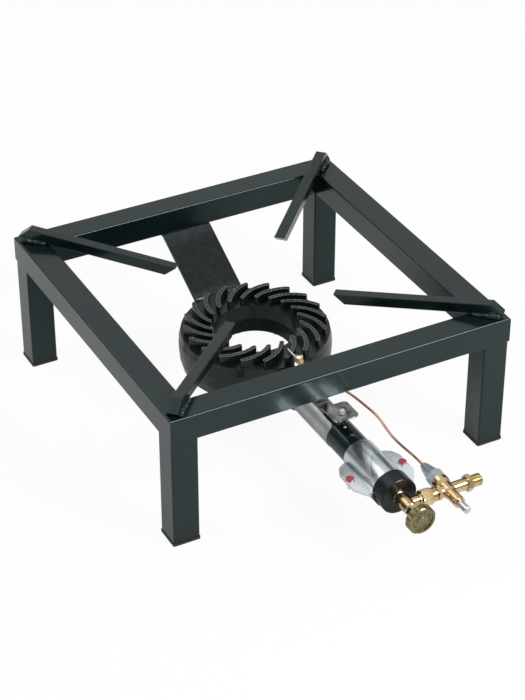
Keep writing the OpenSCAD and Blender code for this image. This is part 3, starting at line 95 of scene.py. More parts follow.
def add_camera():
    data = bpy.data.cameras.new("camera")
    data.sensor_fit = "HORIZONTAL"
    data.sensor_width = SENSOR_WIDTH
    data.lens = FOCAL_PIXELS * SENSOR_WIDTH / PHOTO_WIDTH
    data.clip_end = FARTHEST_SEEN
    camera = bpy.data.objects.new("camera", data)
    scene.collection.objects.link(camera)
    level = math.cos(ELEVATION)
    forward = Vector((math.sin(AZIMUTH) * level, math.cos(AZIMUTH) * level, -math.sin(ELEVATION)))
    right = Vector((math.cos(AZIMUTH), -math.sin(AZIMUTH), 0.0))
    up = right.cross(forward)
    turn = Matrix((right, up, -forward)).transposed().to_4x4()
    camera.matrix_world = Matrix.Translation(CAMERA_AT) @ turn
    scene.camera = camera


add_camera()


# Helpers for shader nodes
class ShaderTree:
    """Adds nodes to one tree. A value is a number, a colour or the output of another node."""

    def __init__(self, tree):
        self.tree = tree

    def node(self, kind, values=None):
        """A new node, with values in its sockets by name or number."""
        node = self.tree.nodes.new("ShaderNode" + kind)
        self.fill(node, values or {})
        return node

    def fill(self, node, values):
        for socket, value in values.items():
            self.put(value, node.inputs[socket])

    def put(self, value, socket):
        if hasattr(value, "is_output"):
            self.tree.links.new(value, socket)
        elif socket.type == "RGBA" and len(value) == 3:
            socket.default_value = (*value, 1.0)
        else:
            socket.default_value = value

    def calc(self, operation, *values):
        node = self.node("Math")
        node.operation = operation
        self.fill(node, dict(enumerate(values)))
        return node.outputs[0]

    def level(self, value, source, target=(0.0, 1.0)):
        """The value moved from the source range to the target range, and held at its ends."""
        return self.node("MapRange", {
            "Value": value, "From Min": source[0], "From Max": source[1],
            "To Min": target[0], "To Max": target[1],
        }).outputs["Result"]


class Look(ShaderTree):
    """A procedural material: one Principled shader, with its patterns in metres of object space."""

    def __init__(self, name, rough, metal=0.0, coat=0.0, coat_rough=0.1, spec=0.5, tint=(1.0, 1.0, 1.0)):
        self.material = bpy.data.materials.new(name)
        self.material.use_nodes = True
        super().__init__(self.material.node_tree)
        self.shader = self.tree.nodes["Principled BSDF"]
        self.fill(self.shader, {
            "Roughness": rough, "Metallic": metal, "Coat Weight": coat, "Coat Roughness": coat_rough,
            "Specular IOR Level": spec, "Specular Tint": tint, "IOR": 1.45,
        })
        self.place = self.node("TexCoord").outputs["Object"]

    def stretched(self, stretch):
        if not stretch:
            return self.place
        return self.node("Mapping", {"Vector": self.place, "Scale": stretch}).outputs["Vector"]

    def along(self, axis):
        """The place along one axis, in metres."""
        return self.node("SeparateXYZ", {0: self.place}).outputs[axis]

    def noise(self, scale, detail, rough, stretch=None):
        return self.node("TexNoise", {
            "Vector": self.stretched(stretch), "Scale": scale, "Detail": detail, "Roughness": rough,
        }).outputs["Fac"]

    def cells(self, scale, out="Distance", stretch=None):
        return self.node("TexVoronoi", {"Vector": self.stretched(stretch), "Scale": scale}).outputs[out]

    def ramp(self, value, stops):
        """A colour that changes with the value, through stops of (value, colour)."""
        node = self.node("ValToRGB", {"Fac": value})
        elements = node.color_ramp.elements
        while len(elements) < len(stops):
            elements.new(0.5)
        for element, (position, color) in zip(elements, stops):
            element.position = position
            element.color = (*color, 1.0)
        return node.outputs["Color"]

    def mix(self, share, first, second):
        """The first colour, with this share of the second. Sockets 6 and 7 and output 2 are the colours."""
        node = self.node("Mix")
        node.data_type = "RGBA"
        self.fill(node, {0: share, 6: first, 7: second})
        return node.outputs[2]

    def color(self, value):
        self.put(value, self.shader.inputs["Base Color"])

    def rough(self, value):
        self.put(value, self.shader.inputs["Roughness"])

    def metal(self, value):
        self.put(value, self.shader.inputs["Metallic"])

    def bump(self, height, strength, distance):
        """One more layer of bumps, on top of those that the shader has."""
        node = self.node("Bump", {"Height": height, "Strength": strength, "Distance": distance})
        normal = self.shader.inputs["Normal"]
        if normal.is_linked:
            self.put(normal.links[0].from_socket, node.inputs["Normal"])
        self.put(node.outputs["Normal"], normal)


# Materials
def paint_material():
    """The frame's dark green gloss paint, softly wavy with a fine grain."""
    look = Look("frame_paint", rough=0.3, coat=0.22, coat_rough=0.08, spec=0.36, tint=(0.66, 0.98, 1.0))
    cloud = look.noise(scale=9, detail=3, rough=0.5)
    fine = look.noise(scale=240, detail=2, rough=0.5)
    look.color(look.ramp(cloud, [(0.3, (0.0015, 0.0045, 0.0047)), (0.7, (0.0035, 0.0080, 0.0080))]))
    look.rough(look.level(cloud, (0.3, 0.75), (0.17, 0.28)))
    look.bump(fine, strength=0.04, distance=0.0002)
    look.bump(cloud, strength=0.08, distance=0.002)
    return look.material


def strap_material():
    """The strap's rough black paint, with a painted reflection that turns it pale near the burner and less
    so near the rail.
    """
    painted_reflection_burner_end = (0.110, 0.088)
    painted_reflection_rail_end = (0.163, 0.190)
    wander = 0.022
    look = Look("strap_paint_and_reflection", rough=0.3, coat=0.18, coat_rough=0.1, spec=0.16, tint=(0.8, 0.98, 1.0))
    grain = look.noise(scale=150, detail=4, rough=0.65)
    wave = look.noise(scale=26, detail=3, rough=0.5)
    along = look.calc("ADD", look.along(Y), look.calc("MULTIPLY", wave, wander))
    # Painted reflection: a pale colour towards both ends of the strap, strongest near the burner, stands in
    # for the light that the glossy paint mirrors there.
    ends = look.calc("MAXIMUM", look.level(along, painted_reflection_burner_end), look.level(along, painted_reflection_rail_end, (0.0, 0.55)))
    pale = look.calc("MULTIPLY", ends, look.level(grain, (0.25, 0.7), (0.55, 1.1)))
    black = look.ramp(grain, [(0.35, (0.002, 0.004, 0.004)), (0.75, (0.012, 0.016, 0.016))])
    # The black paint, with this share of painted reflection mixed in.
    look.color(look.mix(pale, black, (0.075, 0.086, 0.098)))
    look.rough(look.level(grain, (0.3, 0.7), (0.2, 0.34)))
    look.bump(grain, strength=0.12, distance=0.0012)
    return look.material


def iron_material():
    """The burner's black cast iron, a little worn on the ribs' tops."""
    worn_depth = 0.0012
    look = Look("burner_iron", rough=0.4, coat=0.3, coat_rough=0.06, spec=0.25, tint=(0.8, 0.98, 0.97))
    cloud = look.noise(scale=30, detail=5, rough=0.6)
    grain = look.noise(scale=900, detail=3, rough=0.6)
    speck = look.cells(scale=420)
    black = look.ramp(cloud, [(0.3, (0.002, 0.0038, 0.0036)), (0.72, (0.007, 0.0102, 0.0098))])
    tops = look.level(look.along(Z), (RIB_TOP - worn_depth, RIB_TOP))
    patches = look.level(look.noise(scale=210, detail=4, rough=0.7), (0.4, 0.66), (0.1, 0.8))
    look.color(look.mix(look.calc("MULTIPLY", tops, patches), black, (0.022, 0.026, 0.025)))
    look.rough(look.level(cloud, (0.3, 0.7), (0.24, 0.42)))
    look.bump(grain, strength=0.25, distance=0.0005)
    look.bump(speck, strength=0.2, distance=0.0005)
    look.bump(look.noise(scale=120, detail=3, rough=0.6), strength=0.3, distance=0.0022)
    return look.material


def galvanised_material():
    """The sleeve's zinc coat, with faint spangles. Its ears carry a painted highlight: a lighter, bluer
    colour and less of a mirror, so that they catch more light.
    """
    ear_root = (0.0195, 0.0225)
    ear_share = (0.0, 0.85)
    look = Look("galvanised", rough=0.25, metal=1.0)
    spangle = look.node("SeparateColor", {0: look.cells(scale=60, out="Color", stretch=(1, 0.35, 1))})
    cloud = look.noise(scale=26, detail=4, rough=0.6, stretch=(1, 0.4, 1))
    spangle_part = look.calc("MULTIPLY", spangle.outputs[0], 0.2)
    mixed = look.calc("ADD", spangle_part, look.calc("MULTIPLY", cloud, 0.8))
    sheet = look.ramp(mixed, [(0.25, (0.46, 0.51, 0.54)), (0.5, (0.74, 0.78, 0.80)),
                              (0.75, (0.93, 0.94, 0.94))])
    # Painted highlight: the ears' lighter colour and lower metal stand in for the bright light that the flat
    # ears reflect.
    painted_ear_light = look.ramp(mixed, [(0.3, (0.50, 0.55, 0.59)), (0.6, (0.84, 0.88, 0.92))])
    ears = look.level(look.calc("ABSOLUTE", look.along(X)), ear_root, ear_share)
    look.color(look.mix(ears, sheet, painted_ear_light))
    look.metal(look.level(ears, ear_share, (1.0, 0.75)))
    look.rough(look.level(mixed, (0.25, 0.8), (0.2, 0.34)))
    look.bump(cloud, strength=0.03, distance=0.0012)
    return look.material


def metal_material(name, dark, pale, rough, grain=300, brush=None, stain=None, bump=0.1):
    """A bare metal: cloudy between two colours, with stains if given, brushed where brush stretches it."""
    look = Look(name, rough=rough[0], metal=1.0)
    fine = look.noise(scale=grain, detail=3, rough=0.6, stretch=brush)
    color = look.ramp(look.noise(scale=grain / 6, detail=4, rough=0.6), [(0.28, dark), (0.75, pale)])
    if stain:
        patches = look.level(look.noise(scale=grain / 3, detail=4, rough=0.7), (0.56, 0.72), (0.0, 0.7))
        color = look.mix(patches, color, stain)
    look.color(color)
    look.rough(look.level(fine, (0.3, 0.7), rough))
    look.bump(fine, strength=bump, distance=0.0002)
    return look.material


def plain_material(name, dark, pale, rough, coat=0.0, spec=0.5, cloud=60, grain=700, bump=0.1):
    """Plastic, paint or iron: cloudy between two colours, with a grain that catches the light."""
    look = Look(name, rough=rough, coat=coat, coat_rough=0.15, spec=spec)
    tone = look.noise(scale=cloud, detail=4, rough=0.6)
    look.color(look.ramp(tone, [(0.3, dark), (0.7, pale)]))
    look.rough(look.level(tone, (0.3, 0.7), (rough * 0.85, rough * 1.2)))
    look.bump(look.noise(scale=grain, detail=2, rough=0.5), strength=bump, distance=0.0003)
    return look.material


METALS = {
    "dark_steel": dict(dark=(0.08, 0.085, 0.09), pale=(0.2, 0.2, 0.21), rough=(0.35, 0.55)),
    "plated_steel": dict(dark=(0.48, 0.49, 0.50), pale=(0.70, 0.71, 0.72), rough=(0.2, 0.38)),
    "button_steel": dict(dark=(0.38, 0.39, 0.40), pale=(0.58, 0.59, 0.60), rough=(0.22, 0.36),
                         brush=(1, 0.1, 1)),
    "rod_steel": dict(dark=(0.40, 0.39, 0.37), pale=(0.66, 0.65, 0.62), rough=(0.22, 0.4)),
    "plate_silver": dict(dark=(0.34, 0.35, 0.35), pale=(0.48, 0.49, 0.49), rough=(0.32, 0.44),
                         grain=500, brush=(1, 0.06, 1), bump=0.06),
    "zinc": dict(dark=(0.44, 0.49, 0.52), pale=(0.66, 0.70, 0.73), rough=(0.32, 0.44), grain=90, bump=0.02),
    "bracket_paint": dict(dark=(0.02, 0.024, 0.024), pale=(0.46, 0.47, 0.465), rough=(0.14, 0.26),
                          grain=420, bump=0.03),
    "brass": dict(dark=(0.32, 0.205, 0.085), pale=(0.80, 0.63, 0.38), rough=(0.1, 0.22),
                  grain=420, stain=(0.17, 0.10, 0.04), bump=0.12),
    "knob_brass": dict(dark=(0.12, 0.105, 0.052), pale=(0.29, 0.25, 0.14), rough=(0.22, 0.42),
                       grain=380, stain=(0.10, 0.085, 0.04), bump=0.3),
    "copper": dict(dark=(0.52, 0.27, 0.18), pale=(0.82, 0.50, 0.37), rough=(0.2, 0.36),
                   grain=260, stain=(0.30, 0.15, 0.10)),
}

PLAIN = {
    "foot_plastic": dict(dark=(0.010, 0.010, 0.011), pale=(0.02, 0.02, 0.021), rough=0.5),
    "packing": dict(dark=(0.03, 0.03, 0.03), pale=(0.06, 0.06, 0.06), rough=0.7),
    "seal_rubber": dict(dark=(0.015, 0.015, 0.015), pale=(0.03, 0.03, 0.03), rough=0.7),
    "seal_red": dict(dark=(0.16, 0.004, 0.012), pale=(0.42, 0.010, 0.030), rough=0.22, coat=0.8, cloud=300),
    "cup_black": dict(dark=(0.002, 0.0035, 0.004), pale=(0.008, 0.011, 0.012), rough=0.34,
                      coat=0.12, spec=0.22, cloud=150, grain=260, bump=0.9),
    # The burner rims' pale colour is wear together with a painted highlight along the ports' and ribs' edges
    "port_rim_wear_and_highlight": dict(dark=(0.085, 0.095, 0.094), pale=(0.27, 0.29, 0.285), rough=0.34,
                     coat=0.3, cloud=300),
    "rib_edge_wear_and_highlight": dict(dark=(0.018, 0.022, 0.021), pale=(0.14, 0.152, 0.15), rough=0.34,
                      coat=0.3, cloud=260),
}

MATERIALS = {
    "frame_paint": paint_material(),
    "strap_paint_and_reflection": strap_material(),
    "burner_iron": iron_material(),
    "galvanised": galvanised_material(),
}
MATERIALS.update({name: metal_material(name, **look) for name, look in METALS.items()})
MATERIALS.update({name: plain_material(name, **look) for name, look in PLAIN.items()})

# A node takes its slot's material, unless the photograph shows it with a look of its own
OWN_LOOK = {"button": "button_steel", "magnet_nut": "zinc", "rear_strap": "strap_paint_and_reflection"}


def dress_nodes():
    for subpart in frame["record"]["subparts"]:
        name = subpart["node"]
        slots = nodes[name].data.materials
        slots.clear()
        slots.append(MATERIALS[OWN_LOOK.get(name, subpart["material_slot"])])


dress_nodes()


# Helpers for the detail pieces
def on_side(station, angle, radius):
    """A point along the side arms' axis, which runs to +X. The angle starts at +Y."""
    return Vector((station, CROSS_Y + radius * math.cos(angle), AXIS_Z + radius * math.sin(angle)))


def on_front(station, angle, radius):
    """A point along the mixing tube's axis, which runs to the front. The angle starts at +X."""
    return Vector((radius * math.cos(angle), -station, AXIS_Z + radius * math.sin(angle)))


def bridge(bm, rings, closed):
    """Faces between neighbouring rings of vertices; closed also joins the last ring to the first."""
    pairs = list(zip(rings, rings[1:]))
    if closed:
        pairs.append((rings[-1], rings[0]))
    for ring, following in pairs:
        for i in range(len(ring)):
            j = (i + 1) % len(ring)
            corners = list(dict.fromkeys((ring[i], ring[j], following[j], following[i])))
            if len(corners) > 2:
                bm.faces.new(corners)


def shell(rows, sides, place):
    """A closed skin through rows of (station, radius or function of the angle).

    A row of radius 0 is one point. Where no end is a point, the last row joins the first.
    """
    bm = bmesh.new()
    rings = []
    for station, radius in rows:
        if radius == 0:
            rings.append([bm.verts.new(place(station, 0.0, 0.0))] * sides)
            continue
        ring = []
        for i in range(sides):
            angle = FULL_TURN * i / sides
            r = radius(angle) if callable(radius) else radius
            ring.append(bm.verts.new(place(station, angle, r)))
        rings.append(ring)
    bridge(bm, rings, closed=rows[0][1] != 0 and rows[-1][1] != 0)
    bmesh.ops.recalc_face_normals(bm, faces=bm.faces)
    return bm


def piece(name, bm, slot, body="hob", sharp=32, look=None):
    """Turns a bmesh into a piece. Edges that turn by more than sharp degrees stay sharp."""
    mesh = bpy.data.meshes.new(name)
    bm.to_mesh(mesh)
    bm.free()
    o = bpy.data.objects.new(name, mesh)
    scene.collection.objects.link(o)
    for polygon in mesh.polygons:
        polygon.use_smooth = True
    mesh.set_sharp_from_angle(angle=math.radians(sharp))
    mesh.materials.append(MATERIALS[look or slot])
    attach(o, body)
    return o


# The bare plate wrapped round the tube's left side
PLATE_REAR = 0.1175
PLATE_FRONT = 0.1915
PLATE_TOP = math.radians(90 + 31)
PLATE_BOTTOM = math.radians(90 + 162)
PLATE_R = TUBE_R + 0.00012
PLATE_BEND = (PLATE_BOTTOM - PLATE_TOP) * PLATE_R
PLATE_CORNER = 0.004
PLATE_THICKNESS = 0.0003


def plate_row(bm, along, columns):
    """A row of the plate's grid at a length along its bend, drawn in at the rounded corners."""
    to_edge = min(along, PLATE_BEND - along)
    inset = 0.0
    if to_edge < PLATE_CORNER:
        inset = PLATE_CORNER - math.sqrt(max(0.0, PLATE_CORNER ** 2 - (PLATE_CORNER - to_edge) ** 2))
    length = PLATE_FRONT - PLATE_REAR - 2 * inset
    angle = PLATE_TOP + along / PLATE_R
    return [bm.verts.new(on_front(PLATE_REAR + inset + length * i / columns, angle, PLATE_R))
            for i in range(columns + 1)]


def plate():
    rows, columns = 28, 40
    bm = bmesh.new()
    grid = []
    for j in range(rows + 1):
        share = 0.5 - 0.5 * math.cos(math.pi * j / rows)
        grid.append(plate_row(bm, PLATE_BEND * share, columns))
    for upper, lower in zip(grid, grid[1:]):
        for i in range(columns):
            bm.faces.new([upper[i], upper[i + 1], lower[i + 1], lower[i]])
    bmesh.ops.recalc_face_normals(bm, faces=bm.faces)
    bm.faces.ensure_lookup_table()
    centre = bm.faces[0].calc_center_median()
    if bm.faces[0].normal.dot(centre - Vector((0, centre.y, AXIS_Z))) < 0:
        bmesh.ops.reverse_faces(bm, faces=bm.faces)
    o = piece("bare_plate", bm, "plated_steel", look="plate_silver")
    wall = o.modifiers.new("thickness", "SOLIDIFY")
    wall.thickness = PLATE_THICKNESS
    wall.offset = 1


# The inlet
HEX_CORNER = 0.0094
HEX_THICKNESS = 0.0055
HEX_BEVEL = HEX_CORNER * 0.12
INLET_BORE = 0.0036
INLET_BORE_CHAMFER = 0.0006
INLET_SPIGOT = 0.0049
THREAD_CREST = 0.00656
THREAD_PITCH = 0.001337
THREAD_DEPTH = 0.00072
THREAD_RUN_IN = 0.0016
THREAD_RUN_IN_DEPTH = 0.00012
THREAD_CHAMFER = 0.0008
NECK_LENGTH = 0.0002


def hex_under(limit):
    """Radius of the hexagon, cut down to a limit, as a function of the angle."""
    flat = HEX_CORNER * math.cos(math.pi / 6)

    def radius(angle):
        from_flat = angle % (math.pi / 3) - math.pi / 6
        return min(flat / math.cos(from_flat), limit)
    return radius


def thread_at(station, start, end):
    """Radius of the thread at a station, as a function of the angle. It fades in and ends in a chamfer."""
    crest_share = 0.12
    flank_share = 0.76
    fade = min(1.0, (station - start) / THREAD_RUN_IN)
    chamfer = max(0.0, station - (end - THREAD_CHAMFER))

    def radius(angle):
        turn = (station / THREAD_PITCH - angle / FULL_TURN) % 1.0
        cut = min(1.0, max(0.0, (abs(2 * turn - 1) - crest_share) / flank_share))
        groove = THREAD_DEPTH * cut * fade + THREAD_RUN_IN_DEPTH * (1 - fade)
        return THREAD_CREST - max(groove, chamfer)
    return radius


def inlet():
    """Hexagon, neck and cut thread with a chamfered end."""
    thread_steps = 96
    spigot_rear = low("inlet_connector", X)
    hex_rear = high("safety_body", X)
    hex_front = hex_rear + HEX_THICKNESS
    end = high("inlet_connector", X)
    rows = [(spigot_rear, INLET_BORE), (spigot_rear, INLET_SPIGOT), (hex_rear, INLET_SPIGOT)]
    shares = (0.0, 0.25, 0.5, 0.75, 1.0)
    rows += [(hex_rear + HEX_BEVEL * t, hex_under(HEX_CORNER - HEX_BEVEL * (1 - t))) for t in shares]
    rows += [(hex_front - HEX_BEVEL * (1 - t), hex_under(HEX_CORNER - HEX_BEVEL * t)) for t in shares]
    start = hex_front + NECK_LENGTH
    for i in range(thread_steps + 1):
        station = start + (end - start) * i / thread_steps
        rows.append((station, thread_at(station, start, end)))
    rows += [(end, INLET_BORE + INLET_BORE_CHAMFER), (end - INLET_BORE_CHAMFER, INLET_BORE)]
    o = piece("inlet_thread", shell(rows, 72, on_side), "brass", sharp=38)
    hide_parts("inlet_connector")


# The copper lead
LEAD_FROM = (3.5, -97.2, 102.5)
LEAD_TO = (48.5, -278.5, 69.0)
LEAD_SHARES = [
    (0, 0.015, 0), (0.033, 0.06, 0.015), (0.189, 0.137, 0.134), (0.433, 0.214, 0.328),
    (0.678, 0.291, 0.537), (0.878, 0.38, 0.761), (1, 0.484, 0.925), (0.978, 0.584, 0.985),
    (0.944, 0.688, 1), (0.956, 0.788, 1), (0.99, 0.887, 1), (1, 0.959, 1),
]
LEAD_R = 0.0014
LEAD_STEPS = 10


def lead_route():
    """The route of the lead's solid: its two ends in millimetres, and points between them.

    A point is given by the share of the way from end to end that it has gone along each axis.
    """
    between = [tuple(f + (t - f) * u for f, t, u in zip(LEAD_FROM, LEAD_TO, shares))
               for shares in LEAD_SHARES]
    return [Vector(point) * MM for point in (LEAD_FROM, *between, LEAD_TO)]


def smooth(points, steps):
    """A smooth route through the points, with this many steps from each to the next."""
    route = []
    last = len(points) - 1
    for i in range(last):
        a, b, c, d = points[max(i - 1, 0)], points[i], points[i + 1], points[min(i + 2, last)]
        for k in range(steps):
            t = k / steps
            route.append(0.5 * (2 * b + (c - a) * t + (2 * a - 5 * b + 4 * c - d) * t * t
                                + (3 * b - a - 3 * c + d) * t * t * t))
    return route + [points[-1]]


def lead():
    """The lead as one smooth curve."""
    route = smooth(lead_route(), LEAD_STEPS)
    curve = bpy.data.curves.new("copper_lead", "CURVE")
    curve.dimensions = "3D"
    spline = curve.splines.new("POLY")
    spline.points.add(len(route) - 1)
    for point, place in zip(spline.points, route):
        point.co = (*place, 1)
    curve.bevel_depth = LEAD_R
    curve.bevel_resolution = 5
    curve.use_fill_caps = True
    curve.materials.append(MATERIALS["copper"])
    o = bpy.data.objects.new("copper_lead", curve)
    scene.collection.objects.link(o)
    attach(o, "hob")
    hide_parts("thermocouple_lead")


# Generic raised marks in the knob's recess: a ring of tapered ticks and a bead on the centre disc
TICK_PLACES = 20
BEAD_R = 0.0042
BEAD_HALF_W = 0.0005
BEAD_RISE = 0.0003
BEAD_STEPS = 48
BEAD_SIDES = 8

# Depth in the recess, half width, inner radius and length, of a tick's foot and of its top
TICK_FOOT = (0.00085, 0.00075, 0.0079, 0.0028)
TICK_TOP = (0.0001, 0.0004, 0.0083, 0.0020)


def tick(bm, turn, face):
    """One tapered tick: a wide foot on the recess's floor and a narrow top."""
    rings = []
    for depth, half, near, length in (TICK_FOOT, TICK_TOP):
        ring = []
        for x, z in ((-1, 0), (1, 0), (1, 1), (-1, 1)):
            corner = turn @ Vector((x * half, depth - face, near + z * length))
            ring.append(bm.verts.new(corner + Vector((0, 0, AXIS_Z))))
        rings.append(ring)
    bridge(bm, rings, closed=False)
    bm.faces.new(rings[0][::-1])
    bm.faces.new(rings[1])


def bead_ring(bm, angle, face):
    """The bead's section at an angle round the knob's axis."""
    section = [FULL_TURN * k / BEAD_SIDES for k in range(BEAD_SIDES)]
    return [bm.verts.new(on_front(face - BEAD_RISE + BEAD_RISE * math.sin(b), angle,
                                  BEAD_R + BEAD_HALF_W * math.cos(b))) for b in section]


def knob_marks():
    face = -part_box("knob")[0][1]
    bm = bmesh.new()
    for k in range(TICK_PLACES):
        if k % 5 != 2:
            tick(bm, Matrix.Rotation(FULL_TURN * k / TICK_PLACES, 4, "Y"), face)
    rings = [bead_ring(bm, FULL_TURN * i / BEAD_STEPS, face) for i in range(BEAD_STEPS)]
    bridge(bm, rings, closed=True)
    bmesh.ops.recalc_face_normals(bm, faces=bm.faces)
    piece("knob_marks", bm, "knob_brass", body="tap", sharp=50)


# Rims round the burner's ports and along the edges of its ribs, pale with wear and a painted highlight
RIB_COUNT = 20
RIB_PHASE = -11
RIB_BEND = 0.048
RIB_INNER = 0.0505
RIB_OUTER = 0.0775
RIB_SWEEP = math.radians(27)
RIB_HALF_W = 0.0025
RIB_END_R = 0.0023
PORTS_ON_RIB = 7
PORT_RIM_R = 0.00168
PORT_RIM_HALF_W = 0.00025
PORT_RIM_RISE = 0.00012
EDGE_INSET = 0.0003
EDGE_HALF_W = 0.00028
EDGE_RISE = 0.0001
RIM_SUNK = 0.0001
RIM_STEPS = 14
END_STEPS = 8


def polar(centre, radius, angle):
    return centre + radius * Vector((math.cos(angle), math.sin(angle)))


def arc(centre, radius, start, sweep, steps):
    """Points at equal steps on an arc, both ends included."""
    return [polar(centre, radius, start + sweep * k / steps) for k in range(steps + 1)]


def rib_arc():
    """The middle line of the first rib: its two ends, its centre and the angles of the ends."""
    a = Vector((RIB_INNER, 0))
    b = RIB_OUTER * Vector((math.cos(RIB_SWEEP), -math.sin(RIB_SWEEP)))
    along = (b - a).normalized()
    sag = math.sqrt(RIB_BEND ** 2 - ((b - a).length / 2) ** 2)
    centre = (a + b) / 2 + sag * Vector((along.y, -along.x))
    start = math.atan2(a.y - centre.y, a.x - centre.x)
    stop = math.atan2(b.y - centre.y, b.x - centre.x)
    return a, b, centre, start, stop


def rib_outline():
    """The edge of the first rib's top, drawn in a little: two arcs and two rounded ends."""
    a, b, centre, start, stop = rib_arc()
    half = RIB_HALF_W - EDGE_INSET
    end_r = RIB_END_R - EDGE_INSET
    half_turn = math.copysign(math.pi, stop - start)
    outer = arc(centre, RIB_BEND + half, start, stop - start, RIM_STEPS)
    inner = arc(centre, RIB_BEND - half, stop, start - stop, RIM_STEPS)
    end_b = arc(b, end_r, stop, half_turn, END_STEPS)[1:-1]
    end_a = arc(a, end_r, start + math.pi, half_turn, END_STEPS)[1:-1]
    return outer + end_b + inner + end_a


def loop_bead(bm, path, half, rise, turn):
    """A closed bead of trapezoid section on the ribs' tops, along a closed path in the plane."""
    low_z, high_z = RIB_TOP - RIM_SUNK, RIB_TOP + rise
    rings = []
    for i, point in enumerate(path):
        ahead = (path[(i + 1) % len(path)] - path[i - 1]).normalized()
        side = Vector((ahead.y, -ahead.x))
        ring = []
        for offset, z in ((-half, low_z), (half, low_z), (half / 2, high_z), (-half / 2, high_z)):
            ring.append(bm.verts.new(turn @ Vector((*(point + side * offset), z))))
        rings.append(ring)
    bridge(bm, rings, closed=True)


def rims():
    _, _, centre, start, stop = rib_arc()
    outline = rib_outline()
    ports, edges = bmesh.new(), bmesh.new()
    for i in range(RIB_COUNT):
        turn = Matrix.Rotation(math.radians(RIB_PHASE + 360 / RIB_COUNT * i), 4, "Z")
        loop_bead(edges, outline, EDGE_HALF_W, EDGE_RISE, turn)
        for port in arc(centre, RIB_BEND, start, stop - start, PORTS_ON_RIB - 1):
            circle = arc(port, PORT_RIM_R, 0, FULL_TURN, RIM_STEPS)[:-1]
            loop_bead(ports, circle, PORT_RIM_HALF_W, PORT_RIM_RISE, turn)
    # Both rims take a pale iron: wear together with a painted highlight on the edges.
    for name, bm, look in (("port_rims", ports, "port_rim_wear_and_highlight"), ("rib_rims", edges, "rib_edge_wear_and_highlight")):
        bmesh.ops.recalc_face_normals(bm, faces=bm.faces)
        piece(name, bm, "burner_iron", sharp=40, look=look)


def squash_spring():
    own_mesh(nodes["button_spring"])


# Welds
DROPS = 13
FIRST_DROP = 0.0035
DROP_STEP = 0.0021
DROP_R = 0.0026
DROP_GROWTH = 0.00008
DROP_SIDE = 0.0064
BAR_SLOPE = math.radians(6.3)
BAR_GAP = 0.0015
BAR_GAP_FILLED = 0.55


def fuse(o, name, voxel):
    """Remeshes a node or a piece into one smooth skin."""
    remesh = o.modifiers.new(name, "REMESH")
    remesh.mode = "VOXEL"
    remesh.voxel_size = voxel
    remesh.use_smooth_shade = True


def weld_drop(bm, k, side, out):
    """Drop k of a bead, counted from the frame's inner corner. out turns +X to that corner."""
    along = FIRST_DROP + DROP_STEP * k + random.uniform(-0.0005, 0.0005)
    size = DROP_R + DROP_GROWTH * k + random.uniform(-0.0005, 0.0006)
    across = side * (DROP_SIDE + random.uniform(-0.0004, 0.0005))
    gap = BAR_GAP + along * math.tan(BAR_SLOPE)
    rise = RAIL_TOP + gap * BAR_GAP_FILLED + random.uniform(0, 0.0006)
    at = Matrix.Translation((INNER_CORNER + along, across, rise))
    swell = Matrix.Diagonal((1.0, random.uniform(0.85, 1.15), random.uniform(0.95, 1.25), 1.0))
    bmesh.ops.create_icosphere(bm, subdivisions=2, radius=size, matrix=out @ at @ swell)


def weld_lumps():
    """Overlapping drops of weld along both sides of each bar's seat, fused into one lumpy bead."""
    random.seed(4)
    bm = bmesh.new()
    for turn in (0, 90, 180, 270):
        out = Matrix.Rotation(math.radians(225 + turn), 4, "Z")
        for side in (-1, 1):
            for k in range(DROPS):
                weld_drop(bm, k, side, out)
    fuse(piece("weld_lumps", bm, "frame_paint", sharp=180), "fuse", voxel=0.0006)


def ripple(name, voxel, strength, size):
    """Gives a welded node the ripples of a hand-laid bead."""
    fuse(nodes[name], "even", voxel)
    texture = bpy.data.textures.new(name + "_ripple", "CLOUDS")
    texture.noise_scale = size
    texture.noise_depth = 2
    displace = nodes[name].modifiers.new("ripple", "DISPLACE")
    displace.texture = texture
    displace.texture_coords = "LOCAL"
    displace.strength = strength
    displace.mid_level = 0.5


# The small domed plug on the tube, in front of the bracket's boss
PIP_Y = -0.2015
PIP_R = 0.0016
PIP_DOME_R = 0.0015
PIP_WALL = 0.0006
PIP_DOME = 0.0007
PIP_SUNK = 0.0003
PIP_LEAN = math.radians(-4.2)
PIP_DOME_ANGLES = (0.3, 0.7, 1.1)


def on_pip(station, angle, radius):
    """A point on the plug, which stands on the tube's top and leans about the tube's axis."""
    lean = Matrix.Rotation(PIP_LEAN, 4, "Y")
    upright = Vector((radius * math.cos(angle), radius * math.sin(angle), TUBE_R - PIP_SUNK + station))
    return lean @ upright + Vector((0, PIP_Y, AXIS_Z))


def tube_pip():
    dome = [(PIP_WALL + PIP_DOME * math.sin(t), PIP_DOME_R * math.cos(t)) for t in PIP_DOME_ANGLES]
    rows = [(0.0, 0.0), (0.0, PIP_R), (PIP_WALL, PIP_R), *dome, (PIP_WALL + PIP_DOME, 0.0)]
    piece("tube_pip", shell(rows, 20, on_pip), "plated_steel", sharp=60)


plate()
inlet()
lead()
knob_marks()
rims()
squash_spring()
weld_lumps()
tube_pip()
ripple("bar_welds", voxel=0.0006, strength=0.0012, size=0.0035)
ripple("strap_welds", voxel=0.0005, strength=0.0008, size=0.003)

# Light and floor
WHITE = (1.0, 1.0, 1.0)
SKY_TOP = 0.9
SKY_MIRRORED = (-0.15, 0.56)
WORLD_LIGHT = 0.5
FLOOR_HALF = 6
FLOOR_Z = -0.0002
FLOOR_COLOR = (0.78, 0.78, 0.78)
FLOOR_SEEN = 0.93
FLOOR_MIRRORED = 0.16

# Name, place, what it points at, width, power, and height where it isn't square
LAMPS = [
    ("key", (-1.8, 0.35, 1.7), (0, -0.05, 0.05), 1.2, 17, None),
    ("back", (-0.7, 1.5, 2.2), (0, 0, 0.1), 1.4, 8, None),
    ("edge", (0.82, -1.515, 1.465), (0, -0.15, 0.1), 0.9, 36, 0.62),
]


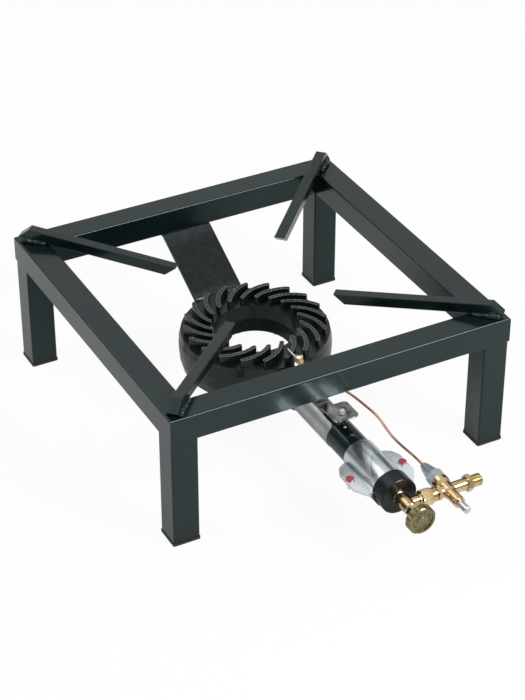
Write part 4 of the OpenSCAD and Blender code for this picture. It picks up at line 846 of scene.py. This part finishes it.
def light_world():
    """A white world at half strength, which the camera sees white and gloss sees brighten upwards."""
    world = bpy.data.worlds.new("world")
    scene.world = world
    world.use_nodes = True
    sky = ShaderTree(world.node_tree)
    ray = sky.node("LightPath")
    height = sky.node("SeparateXYZ", {0: sky.node("TexCoord").outputs["Generated"]}).outputs[Z]
    mirrored = sky.level(height, (0.0, SKY_TOP), SKY_MIRRORED)
    seen = sky.calc("MULTIPLY_ADD", ray.outputs["Is Glossy Ray"], mirrored, WORLD_LIGHT)
    strength = sky.calc("MAXIMUM", ray.outputs["Is Camera Ray"], seen)
    sky.fill(sky.tree.nodes["Background"], {"Color": WHITE, "Strength": strength})


def lamp(name, place, target, width, power, height):
    light = bpy.data.lights.new(name, "AREA")
    light.shape = "RECTANGLE" if height else "SQUARE"
    light.size = width
    if height:
        light.size_y = height
    light.energy = power
    o = bpy.data.objects.new(name, light)
    scene.collection.objects.link(o)
    o.location = place
    o.rotation_euler = (Vector(target) - Vector(place)).to_track_quat("-Z", "Y").to_euler()


def floor_material():
    """A pale matt floor that the camera sees mostly as light, and gloss in part. It keeps the shadows."""
    material = bpy.data.materials.new("floor")
    material.use_nodes = True
    floor = ShaderTree(material.node_tree)
    matt = floor.tree.nodes["Principled BSDF"]
    floor.fill(matt, {"Base Color": FLOOR_COLOR, "Roughness": 0.9, "Specular IOR Level": 0.1})
    ray = floor.node("LightPath")
    seen = floor.calc("MULTIPLY", ray.outputs["Is Camera Ray"], FLOOR_SEEN)
    share = floor.calc("MULTIPLY_ADD", ray.outputs["Is Glossy Ray"], FLOOR_MIRRORED, seen)
    shine = floor.node("Emission", {"Strength": 1.0})
    blend = floor.node("MixShader", {0: share, 1: matt.outputs[0], 2: shine.outputs[0]})
    floor.fill(floor.tree.nodes["Material Output"], {"Surface": blend.outputs[0]})
    return material


def add_floor():
    mesh = bpy.data.meshes.new("floor")
    bm = bmesh.new()
    bmesh.ops.create_grid(bm, x_segments=1, y_segments=1, size=FLOOR_HALF)
    bm.to_mesh(mesh)
    bm.free()
    mesh.materials.append(floor_material())
    floor = bpy.data.objects.new("floor", mesh)
    scene.collection.objects.link(floor)
    floor.location.z = FLOOR_Z


scene.view_settings.view_transform = "Standard"
light_world()
for settings in LAMPS:
    lamp(*settings)
add_floor()
